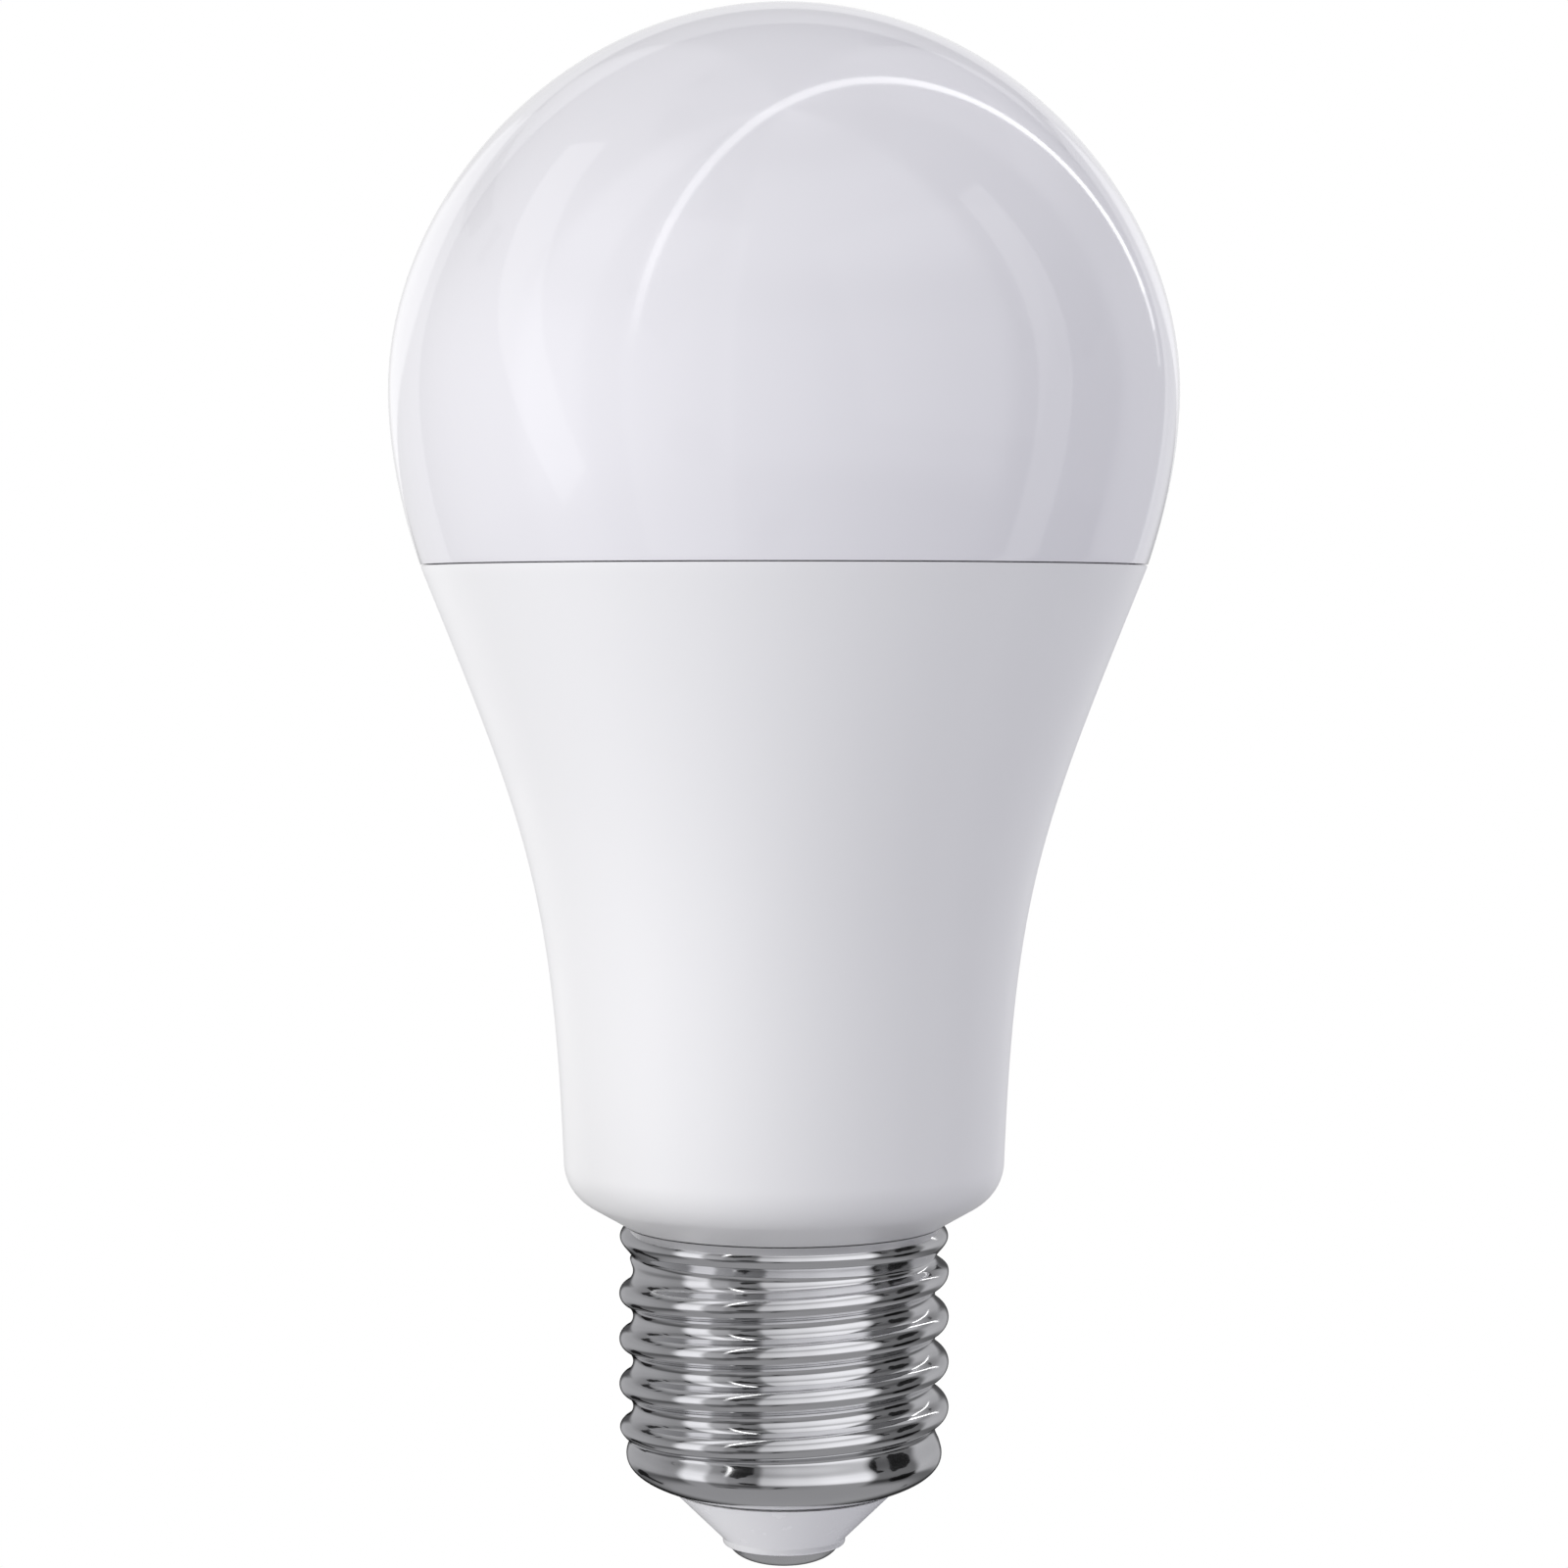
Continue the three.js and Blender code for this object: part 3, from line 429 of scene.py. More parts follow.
# ---- cap ----

def thread_shape(turns):
    """Height of the rounded thread over its root, 0 to 1, at a distance in turns from a crest."""
    offset = abs(turns - round(turns)) * THREAD_PITCH
    if offset <= THREAD_PITCH / 4:
        return 1 - (THREAD_ARC - math.sqrt(THREAD_ARC ** 2 - offset ** 2)) / THREAD_DEPTH
    from_root = THREAD_PITCH / 2 - offset
    return (THREAD_ARC - math.sqrt(THREAD_ARC ** 2 - from_root ** 2)) / THREAD_DEPTH


def bead_height(bead, z):
    away = min(abs(z - bead["z"]) / bead["reach"], 1.0)
    return (bead["radius"] - SHELL_ROOT) * (0.5 + 0.5 * math.cos(math.pi * away))


def beads(z):
    return bead_height(TOP_BEAD, z) + bead_height(FOOT_BEAD, z)


def thread_lift(angle, z):
    """How far the thread stands proud of the beaded sheet at an angle and a height."""
    turns = (z - THREAD_CREST_AT_X) / THREAD_PITCH - angle / (2 * math.pi)
    fade = smoothstep(z, *THREAD_FADE_LOW) * (1 - smoothstep(z, *THREAD_FADE_HIGH))
    thread = THREAD_DEPTH * thread_shape(turns) * fade
    return (thread ** 3 + beads(z) ** 3) ** (1 / 3) - beads(z)


def shell_curl(inset, steps):
    """The shell's foot, curled in from the bead to the insulator."""
    edge = FOOT_BEAD["radius"] - inset
    foot = SHELL_FOOT + inset
    corners = [
        (SHELL_FOOT_RADIUS, foot),
        (edge - 1.4 * MM + inset / 2, foot + 0.7 * MM),
        (edge, FOOT_BEAD["z"] - 1.3 * MM + inset),
        (edge, FOOT_BEAD["z"]),
    ]
    return bezier(corners, steps)


def shell_piece():
    """Screw shell: a rolled sheet with the thread, a bead at each end and its foot curled in."""
    foot, top = FOOT_BEAD["z"], shell_high.z
    heights = [lerp(foot, top, row / SHELL_ROWS) for row in range(SHELL_ROWS + 1)]
    side = [(SHELL_ROOT + beads(z), z) for z in heights]
    outer_curl = shell_curl(0.0, 20)
    inner_curl = shell_curl(SHELL_SHEET, 10)[::-1]
    inside = [(r - SHELL_SHEET, z) for r, z in side[::2]][::-1]
    rim = (SHELL_FOOT_RADIUS - 0.1 * MM, SHELL_FOOT + SHELL_RIM)
    outline = rounded([rim, *outer_curl[:-1], *side, *inside, *inner_curl[1:]], {1: 0.06 * MM})
    return turned("nickel_screw_shell", outline, segments=256, lift=thread_lift)


def insulator_piece():
    """Moulded cone between the shell and the contact, hollow from above."""
    bore = CONTACT_STEM_RADIUS + 0.6 * MM
    lip_foot = insulator_low.z
    lip_inner = contact_high.x + 0.1 * MM
    seat = CONTACT_RIM + 0.6 * MM
    floor = seat + 1.6 * MM
    flange_radius = insulator_high.x
    rim = flange_radius - 1.2 * MM
    neck_inner = NECK_RADIUS - 0.9 * MM
    shoulder = SHELL_FOOT - NECK_GAP
    flange = shoulder + 1.3 * MM
    top = insulator_high.z
    outline = [
        (bore, seat), (lip_inner, seat), (lip_inner, lip_foot), (LIP_RADIUS, lip_foot),
        (LIP_RADIUS, LIP_TOP), (rim, shoulder), (NECK_RADIUS, shoulder), (NECK_RADIUS, flange),
        (flange_radius, flange), (flange_radius, top), (neck_inner, top), (neck_inner, flange),
        (lip_inner, floor), (bore, floor),
    ]
    radii = {2: 0.04 * MM, 3: 0.28 * MM, 4: 0.08 * MM, 5: 0.05 * MM}
    radii.update({corner: 0.2 * MM for corner in (8, 9, 10)})
    return turned("insulator_cone", rounded(outline, radii), segments=128)


def contact_piece():
    """Domed button with a small flat end and its stem."""
    rim = contact_high.x
    start = [(CONTACT_FLAT_RADIUS, 0.0), (rim - 1.9 * MM, 0.0)]
    corners = [*start, (rim, 0.4 * CONTACT_RIM), (rim, CONTACT_RIM)]
    back = CONTACT_RIM + 0.5 * MM
    stem_top = contact_high.z
    stem = [(CONTACT_STEM_RADIUS, back), (CONTACT_STEM_RADIUS, stem_top), (0.0, stem_top)]
    outline = [(0.0, 0.0), *bezier(corners, 18), (rim, back), *stem]
    return turned("contact_button", outline, 96, closed=False)


# ---- small solids for the pieces inside ----

def add_block(bm, centre, size, bevel, material=0):
    """A box with softened edges."""
    known = set(bm.faces)
    place = Matrix.Translation(centre) @ Matrix.Diagonal((*size, 1.0))
    made = bmesh.ops.create_cube(bm, size=1.0, matrix=place)
    edges = list({edge for vert in made["verts"] for edge in vert.link_edges})
    bmesh.ops.bevel(bm, geom=edges, offset=bevel, segments=2, profile=0.5, affect="EDGES")
    for face in set(bm.faces) - known:
        face.material_index = material


def corner_loop(half_x, half_y, corner, z):
    """Points round a rectangle with rounded corners; a circle where corner equals both halves."""
    points = []
    for quarter, (side_x, side_y) in enumerate(((1, 1), (-1, 1), (-1, -1), (1, -1))):
        for step in range(QUARTER_STEPS + 1):
            angle = (quarter + step / QUARTER_STEPS) * math.pi / 2
            x = side_x * (half_x - corner) + corner * math.cos(angle)
            y = side_y * (half_y - corner) + corner * math.sin(angle)
            points.append((x, y, z))
    return points


def inset_loops(half_x, half_y, rows):
    """Rounded rectangles drawn in from two halves. Each row is (inset x, inset y, corner, z),
    all in mm but z.
    """
    return [corner_loop(half_x - x * MM, half_y - y * MM, r * MM, z) for x, y, r, z in rows]


def ring(radius, z, count=48):
    """Points round a circle, or round a wavy one where radius is a function of the angle."""
    points = []
    for at in range(count):
        angle = 2 * math.pi * at / count
        reach = radius(angle) if callable(radius) else radius
        points.append((reach * math.cos(angle), reach * math.sin(angle), z))
    return points


def add_loft(bm, loops, materials=None, capped=True):
    """Skins loops of points in order. materials gives one index for each band, then the last cap."""
    rows = [[bm.verts.new(point) for point in loop] for loop in loops]
    pairs = list(zip(rows, rows[1:]))
    if not capped:
        pairs.append((rows[-1], rows[0]))
    for band, (low, high) in enumerate(pairs):
        for at in range(len(low)):
            after = (at + 1) % len(low)
            face = bm.faces.new((low[at], low[after], high[after], high[at]))
            face.material_index = materials[band] if materials else 0
    if capped:
        bm.faces.new(rows[0][::-1]).material_index = materials[0] if materials else 0
        bm.faces.new(rows[-1]).material_index = materials[-1] if materials else 0


def add_lead(bm, path, width, thickness, material):
    """A flat metal lead that follows a path of points, with its width given as a vector."""
    half = Vector(width) / 2
    for start, end in zip(path, path[1:]):
        start, end = Vector(start), Vector(end)
        along = (end - start).normalized()
        raised = along.cross(half).normalized() * thickness / 2
        start, end = start - along * thickness / 2, end + along * thickness / 2
        corners = [half + raised, raised - half, -half - raised, half - raised]
        add_loft(bm, [[point + corner for corner in corners] for point in (start, end)], [material])


def placed(bm, centre, turn=0.0, tip=0.0):
    """Tips a finished bmesh about X, turns it about Z and moves it to its place."""
    move = Matrix.Translation(centre) @ Matrix.Rotation(turn, 4, "Z") @ Matrix.Rotation(tip, 4, "X")
    bmesh.ops.transform(bm, matrix=move, verts=bm.verts)


def centred(piece, low, high, z):
    """Moves a piece's axis to the middle of a box and raises it to a height."""
    middle = (low + high) / 2
    piece.data.transform(Matrix.Translation((middle.x, middle.y, z)))
    return piece


def paint_faces(piece, index, chosen):
    """Gives the faces whose centre is chosen the piece's material with that index."""
    for face in piece.data.polygons:
        if chosen(face.center):
            face.material_index = index


# ---- light engine ----

WHITE_LED = Vector((2.8, 3.5, 0.7)) * MM
RGB_WINDOW = 2.0 * MM


def white_led_piece(node):
    """2835-size package: white frame, sunk phosphor window, a terminal at each end."""
    low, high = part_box(node)
    half_x, half_y, height = WHITE_LED.x / 2, WHITE_LED.y / 2, WHITE_LED.z
    bm = bmesh.new()
    loops = inset_loops(half_x, half_y, [
        (0.03, 0.03, 0.12, 0.0),
        (0.0, 0.0, 0.15, 0.3 * MM),
        (0.04, 0.04, 0.15, height - 0.03 * MM),
        (0.08, 0.08, 0.12, height),
        (0.32, 0.36, 0.5, height),
        (0.42, 0.46, 0.45, height - 0.14 * MM),
        (0.75, 0.8, 0.3, height - 0.1 * MM),
    ])
    add_loft(bm, loops, [0, 0, 0, 0, 0, 1, 1])
    terminal = (2.0 * MM, 0.28 * MM, 0.24 * MM)
    for side in (-1, 1):
        add_block(bm, (0, side * (half_y - 0.1 * MM), 0.13 * MM), terminal, 0.03 * MM, 2)
    middle = (low + high) / 2
    placed(bm, (middle.x, middle.y, low.z), math.atan2(middle.y, middle.x))
    return finish_mesh(node + "_package", bm)


def rgb_led_piece(node):
    """5050-size package: round window with three dies under clear gel, six terminals."""
    low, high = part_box(node)
    half = (high.x - low.x) / 2
    height = high.z - low.z
    floor = height - 0.45 * MM
    window = [(RGB_WINDOW, height), (RGB_WINDOW - 0.2 * MM, floor), (0.3 * MM, floor + 0.03 * MM)]
    bm = bmesh.new()
    loops = inset_loops(half, half, [
        (0.06, 0.06, 0.2, 0.0),
        (0.02, 0.02, 0.25, 0.5 * MM),
        (0.08, 0.08, 0.25, height - 0.05 * MM),
        (0.14, 0.14, 0.2, height),
    ])
    loops += [corner_loop(radius, radius, radius, z) for radius, z in window]
    add_loft(bm, loops, [0, 0, 0, 0, 0, 1, 1])
    for at in (-1, 0, 1):
        die = (at * 0.75 * MM, (0.3 - 0.6 * abs(at)) * MM, floor + 0.07 * MM)
        add_block(bm, die, (0.38 * MM, 0.38 * MM, 0.14 * MM), 0.02 * MM, 4 + at)
        for side in (-1, 1):
            foot = (side * (half - 0.14 * MM), at * 1.65 * MM, 0.13 * MM)
            add_block(bm, foot, (0.26 * MM, 0.95 * MM, 0.24 * MM), 0.03 * MM, 2)
    middle = (low + high) / 2
    placed(bm, (middle.x, middle.y, low.z), math.atan2(middle.y, middle.x))
    return finish_mesh(node + "_package", bm)


def board_screw_piece(node):
    """Thread-forming screw with a domed head and a six-lobed recess."""
    low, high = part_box(node)
    head = (high.x - low.x) / 2
    head_foot = high.z - 1.3 * MM
    pitch = 0.8 * MM
    root, depth = 0.86, 0.14
    lobes, lobe_height, socket = 6, 0.11, 0.82

    def thread(z):
        def reach(angle):
            turns = z / pitch - angle / (2 * math.pi)
            return (root + depth * (1 - 2 * abs(turns - math.floor(turns) - 0.5))) * MM
        return reach

    def recess(angle):
        return (socket + lobe_height * math.cos(lobes * angle)) * MM

    bm = bmesh.new()
    rows = 46
    loops = [ring(0.55 * MM, low.z)]
    heights = [lerp(low.z + 0.3 * MM, head_foot, row / rows) for row in range(rows + 1)]
    loops += [ring(thread(z), z) for z in heights]
    crown = [
        (head, head_foot + 0.45 * MM),
        (head, high.z - 0.3 * MM),
        (head - 0.5 * MM, high.z),
        (1.0 * MM, high.z),
    ]
    loops += [ring(head - 0.1 * MM, head_foot), ring(head, head_foot + 0.1 * MM)]
    loops += [ring(r, z) for r, z in bezier(crown, 8)]
    loops += [ring(recess, high.z - 0.02 * MM), ring(recess, high.z - 0.75 * MM)]
    add_loft(bm, loops)
    return centred(finish_mesh(node + "_threaded", bm), low, high, 0.0)


# ---- driver and wireless module ----

def chip_piece(node, leads_each_side, pitch, lead_width):
    """Moulded package on the board's +Y face, with bent leads above and below."""
    low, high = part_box(node)
    middle = (low + high) / 2
    foot_y = driver_high.y + 0.12 * MM
    half_z = (high.z - low.z) / 2
    thickness = high.y - low.y
    half_x = (high.x - low.x) / 2
    middle_y = low.y + thickness / 2
    bm = bmesh.new()
    loops = inset_loops(half_x, half_z, [
        (0.06, 0.06, 0.12, 0.0),
        (0.0, 0.0, 0.12, thickness / 2),
        (0.06, 0.06, 0.12, thickness - 0.06 * MM),
        (0.12, 0.12, 0.12, thickness),
    ])
    add_loft(bm, loops)
    bmesh.ops.transform(bm, matrix=Matrix.Rotation(-math.pi / 2, 4, "X"), verts=bm.verts)
    bmesh.ops.translate(bm, vec=(middle.x, low.y, middle.z), verts=bm.verts)
    for at in range(leads_each_side):
        x = middle.x + (at - (leads_each_side - 1) / 2) * pitch
        for side in (-1, 1):
            edge = middle.z + side * (half_z - 0.1 * MM)
            path = [
                (x, middle_y, edge),
                (x, middle_y, edge + side * 0.45 * MM),
                (x, foot_y, edge + side * 0.65 * MM),
                (x, foot_y, edge + side * 1.15 * MM),
            ]
            add_lead(bm, path, (lead_width, 0, 0), 0.18 * MM, 1)
    return finish_mesh(node + "_package", bm)


def capacitor_piece(node):
    """Electrolytic can: crimped sleeve, rounded shoulder, bare lid with its vent score."""
    low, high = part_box(node)
    radius = (high.x - low.x) / 2
    height = high.z - low.z
    lid_radius = radius - 0.85 * MM
    lid = height - 0.12 * MM
    outline = [
        (0.0, 0.0), (radius - 0.35 * MM, 0.0), (radius, 0.35 * MM), (radius, height * 0.1),
        (radius - 0.5 * MM, height * 0.15), (radius, height * 0.2), (radius, height),
        (lid_radius, height), (lid_radius - 0.1 * MM, lid), (1.3 * MM, lid),
        (1.22 * MM, lid - 0.08 * MM), (1.14 * MM, lid), (0.0, lid),
    ]
    radii = {2: 0.3 * MM, 3: 0.4 * MM, 4: 0.3 * MM, 5: 0.4 * MM, 6: 0.6 * MM}
    piece = turned(node + "_can", rounded(outline, radii), 64, closed=False)
    paint_faces(piece, 1, lambda c: math.hypot(c.x, c.y) < lid_radius and c.z > height / 2)
    return centred(piece, low, high, low.z)


def wound_coil(node, corner, bore, wire):
    """Enamelled wire wound in even turns round a rounded bobbin."""
    low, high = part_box(node)
    half = (high - low) / 2
    turns = round((high.z - low.z) / wire)
    steps = turns * 6
    loops = []
    for step in range(steps + 1):
        z = lerp(low.z, high.z, step / steps)
        groove = wire * 0.22 * (1 - abs(math.sin(math.pi * turns * step / steps)))
        loops.append(corner_loop(half.x - groove, half.y - groove, corner - groove, z))
    inner = corner - (half.x - bore)
    loops += [corner_loop(bore, half.y - half.x + bore, inner, z) for z in (high.z, low.z)]
    bm = bmesh.new()
    add_loft(bm, loops, capped=False)
    return centred(finish_mesh(node + "_turns", bm), low, high, 0.0)


def drum_core_piece(node):
    """Drum core of the filter choke, with rounded flanges."""
    low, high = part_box(node)
    radius = (high.x - low.x) / 2
    height = high.z - low.z
    flange = 1.0 * MM
    waist = 1.6 * MM
    outline = [
        (0.0, 0.0), (radius, 0.0), (radius, flange), (waist, flange),
        (waist, height - flange), (radius, height - flange), (radius, height), (0.0, height),
    ]
    radii = {1: 0.2 * MM, 2: 0.15 * MM, 5: 0.15 * MM, 6: 0.2 * MM}
    piece = turned(node + "_drum", rounded(outline, radii), 64, closed=False)
    return centred(piece, low, high, low.z)


def varistor_piece(node):
    """Dipped disc: thick in the middle, with a rounded edge."""
    low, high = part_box(node)
    radius = (high.z - low.z) / 2
    half = (high.y - low.y) / 2
    flat = half - 0.12 * MM
    edge = bezier([(radius - 1.3 * MM, -flat), (radius, -flat), (radius, -0.5 * MM), (radius, 0.0)], 10)
    outline = [(0.0, -half), *edge, *[(r, -z) for r, z in edge[-2::-1]], (0.0, half)]
    piece = turned(node + "_disc", outline, 64, closed=False)
    piece.data.transform(Matrix.Translation((low + high) / 2) @ Matrix.Rotation(math.pi / 2, 4, "X"))
    return piece


def fuse_piece(node):
    """Fusible resistor: slim body between two end caps, a lead at each end."""
    low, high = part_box(node)
    radius = (high.x - low.x) / 2
    lead = 0.35 * MM
    foot, top = 17.5 * MM, 25.5 * MM
    cap = 1.7 * MM
    slim = radius - 0.18 * MM
    outline = [
        (0.0, low.z), (lead, low.z), (lead, foot), (radius, foot), (radius, foot + cap),
        (slim, foot + cap + 0.3 * MM), (slim, top - cap - 0.3 * MM),
        (radius, top - cap), (radius, top), (lead, top), (lead, high.z), (0.0, high.z),
    ]
    radii = {3: 0.5 * MM, 4: 0.3 * MM, 7: 0.3 * MM, 8: 0.5 * MM}
    piece = turned(node + "_body", rounded(outline, radii), 48, closed=False)
    paint_faces(piece, 1, lambda c: math.hypot(c.x, c.y) < lead * 1.1)
    return centred(piece, low, high, 0.0)


def shield_can_piece(node):
    """Drawn metal can with soft corners and a shallow pressed panel."""
    low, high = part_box(node)
    half_x, half_z = (high.x - low.x) / 2, (high.z - low.z) / 2
    height = high.y - low.y
    bm = bmesh.new()
    loops = inset_loops(half_x, half_z, [
        (0.0, 0.0, 0.5, 0.0),
        (0.0, 0.0, 0.5, height - 0.3 * MM),
        (0.09, 0.09, 0.45, height - 0.09 * MM),
        (0.3, 0.3, 0.4, height),
        (1.0, 1.0, 0.4, height),
        (1.15, 1.15, 0.35, height - 0.08 * MM),
    ])
    add_loft(bm, loops)
    middle = (low + high) / 2
    placed(bm, (middle.x, low.y, middle.z), tip=-math.pi / 2)
    return finish_mesh(node + "_pressed", bm)


def antenna_piece():
    """Copper antenna track that runs to and fro near the module board's top."""
    _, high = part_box("wireless_module_board")
    lanes = 7
    width, thickness, bevel = 0.45 * MM, 0.04 * MM, 0.01 * MM
    reach = high.x - 1.0 * MM
    face = high.y + thickness / 2
    top = high.z - 1.0 * MM
    pitch = 1.35 * MM
    bm = bmesh.new()
    for lane in range(lanes):
        z = top - lane * pitch
        add_block(bm, (0.0, face, z), (2 * reach, thickness, width), bevel)
        if lane < lanes - 1:
            side = reach - width / 2 if lane % 2 else width / 2 - reach
            add_block(bm, (side, face, z - pitch / 2), (width, thickness, pitch - width), bevel)
    return finish_mesh("module_antenna_track", bm)


PIN_PITCH = 2.54 * MM
PIN_WIDTH = 0.64 * MM
PIN_COUNT = 4


def pin_header_piece(node, along, inset_low, inset_high):
    """Moulded bar, inset from the node's box, with square pins that run through it along Y or Z."""
    low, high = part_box(node)
    bar_low, bar_high = low + Vector(inset_low) * MM, high - Vector(inset_high) * MM
    middle = (low + high) / 2
    bar_middle = (bar_low + bar_high) / 2
    if along == "Y":
        pin = (PIN_WIDTH, high.y - low.y, PIN_WIDTH)
    else:
        pin = (PIN_WIDTH, PIN_WIDTH, high.z - low.z)
    cell = (PIN_PITCH - 0.1 * MM, bar_high.y - bar_low.y, bar_high.z - bar_low.z)
    bm = bmesh.new()
    for at in range(PIN_COUNT):
        x = (at - (PIN_COUNT - 1) / 2) * PIN_PITCH
        add_block(bm, (x, bar_middle.y, bar_middle.z), cell, 0.25 * MM)
        add_block(bm, (x, middle.y, middle.z), pin, 0.1 * MM, 1)
    return finish_mesh(node + "_pins", bm)


# Solder joints: their places (x, z) on the board and the outline (r, height) of one, in mm.
SOLDER_JOINTS = [
    (-9.0, 60.5), (-2.0, 60.5), (-9.0, 64.5), (-2.0, 64.5),
    (6.2, 49.3), (9.2, 49.3), (6.5, 34.9), (9.5, 34.9),
]
SOLDER_OUTLINE = [(0.85, 0.0), (0.6, 0.25), (0.25, 0.6), (0.2, 0.9)]


def driver_solder_piece():
    """Domed solder joints of the through-hole parts on the board's +Y face."""
    face = driver_high.y
    bm = bmesh.new()
    for x, z in SOLDER_JOINTS:
        known = set(bm.verts)
        add_loft(bm, [ring(r * MM, height * MM, 20) for r, height in SOLDER_OUTLINE])
        made = [vert for vert in bm.verts if vert not in known]
        move = Matrix.Translation((x * MM, face, z * MM)) @ Matrix.Rotation(-math.pi / 2, 4, "X")
        bmesh.ops.transform(bm, matrix=move, verts=made)
    return finish_mesh("driver_solder_joints", bm)


# ---- studio ----

def add_camera():
    camera = bpy.data.objects.new("camera", bpy.data.cameras.new("camera"))
    camera.data.lens = CAMERA_LENS
    camera.data.sensor_width = CAMERA_SENSOR
    camera.location = CAMERA_PLACE
    camera.rotation_euler = (math.pi / 2 - CAMERA_PITCH, 0.0, 0.0)
    camera.data.clip_start = 10 * MM
    camera.data.clip_end = 100.0
    bpy.context.scene.collection.objects.link(camera)
    bpy.context.scene.camera = camera


def grey(value, coolness=0.0):
    """A light's colour: a grey with a small share more blue."""
    return (value, value, value * (1 + coolness), 1.0)


# The soft light's strength, which its ramp is divided by to stay under 1, and the mirrored one's.
SOFT_STRENGTH = 1.6
MIRRORED_STRENGTH = 1.12
# Studio light by azimuth in degrees: 0 is towards the photographer, positive to the right.
# Each line gives the brightness and how cool the light is.
SOFT_LIGHT = [
    (-180, 1.00, 0.05), (-118, 0.57, 0.02), (-60, 1.46, -0.02), (-25, 1.27, 0.02), (10, 0.92, 0.08),
    (48, 0.06, 0.09), (118, 1.50, 0.05), (180, 1.00, 0.05),
]
# What polished surfaces mirror: bright cards with dark gaps between them.
MIRRORED = [
    (-180, 0.05), (-166, 0.08), (-158, 0.40), (-120, 0.38), (-86, 0.30), (-76, 0.95), (-62, 1.0),
    (-56, 0.46), (-44, 0.40), (-40, 0.27), (-20, 0.20), (-15, 0.62), (10, 0.82), (40, 1.0), (62, 1.0),
    (73, 0.17), (108, 0.15), (118, 0.48), (156, 0.42), (166, 0.08), (180, 0.05),
]
MIRRORED_COOLNESS = 0.03
# How each changes with elevation, in degrees.
SOFT_BY_HEIGHT = [
    (-90, 0.32, 0.05), (-60, 0.36, 0.05), (-45, 1.05, 0.05), (-30, 1.50, 0.0), (-15, 1.06, 0.0),
    (0, 0.80, 0.0), (25, 1.01, 0.0), (50, 0.92, 0.0), (70, 0.90, 0.0), (90, 1.60, 0.0),
]
MIRRORED_BY_HEIGHT = [
    (-90, 0.30), (-24, 0.30), (-14, 0.95), (-4, 1.0), (12, 0.92), (28, 0.56), (42, 1.0),
    (60, 0.92), (74, 0.36), (90, 0.85),
]
# The plain floor that polished surfaces mirror, and its share of what they see by elevation.
MIRRORED_FLOOR = grey(0.30, 0.03)
FLOOR_SHARE = [(-90, 1.0), (-48, 1.0), (-26, 0.0), (90, 0.0)]
# Dark shapes in the gaps between the cards: how fine, in which gaps, how many and how dark.
CLUTTER_SCALE = 2.0
CLUTTER_IN_GAPS_UNDER = 0.24
CLUTTER_FROM = 0.55
CLUTTER_DEPTH = 1.0


def ramp(tree, value, stops):
    """A smooth colour ramp over a value from 0 to 1. Each stop is (position, colour)."""
    node = new_node(tree, "ValToRGB", {"Fac": value})
    node.color_ramp.interpolation = "EASE"
    elements = node.color_ramp.elements
    elements[0].position, elements[0].color = stops[0]
    elements[1].position, elements[1].color = stops[-1]
    for position, colour in stops[1:-1]:
        element = elements.new(position)
        element.color = colour
    return node.outputs["Color"]


def cluttered(tree, direction, colour):
    """The mirrored studio's strength: dark shapes, as of stands, in the gaps between its cards."""
    shapes = new_node(tree, "TexNoise", {"Vector": direction, "Scale": CLUTTER_SCALE, "Detail": 2.0})
    level = new_node(tree, "RGBToBW", {"Color": colour})
    gap = maths(tree, "LESS_THAN", level.outputs["Val"], CLUTTER_IN_GAPS_UNDER)
    shape = maths(tree, "GREATER_THAN", shapes.outputs["Fac"], CLUTTER_FROM)
    dark = maths(tree, "MULTIPLY", maths(tree, "MULTIPLY", shape, gap), CLUTTER_DEPTH)
    return maths(tree, "SUBTRACT", MIRRORED_STRENGTH, dark)


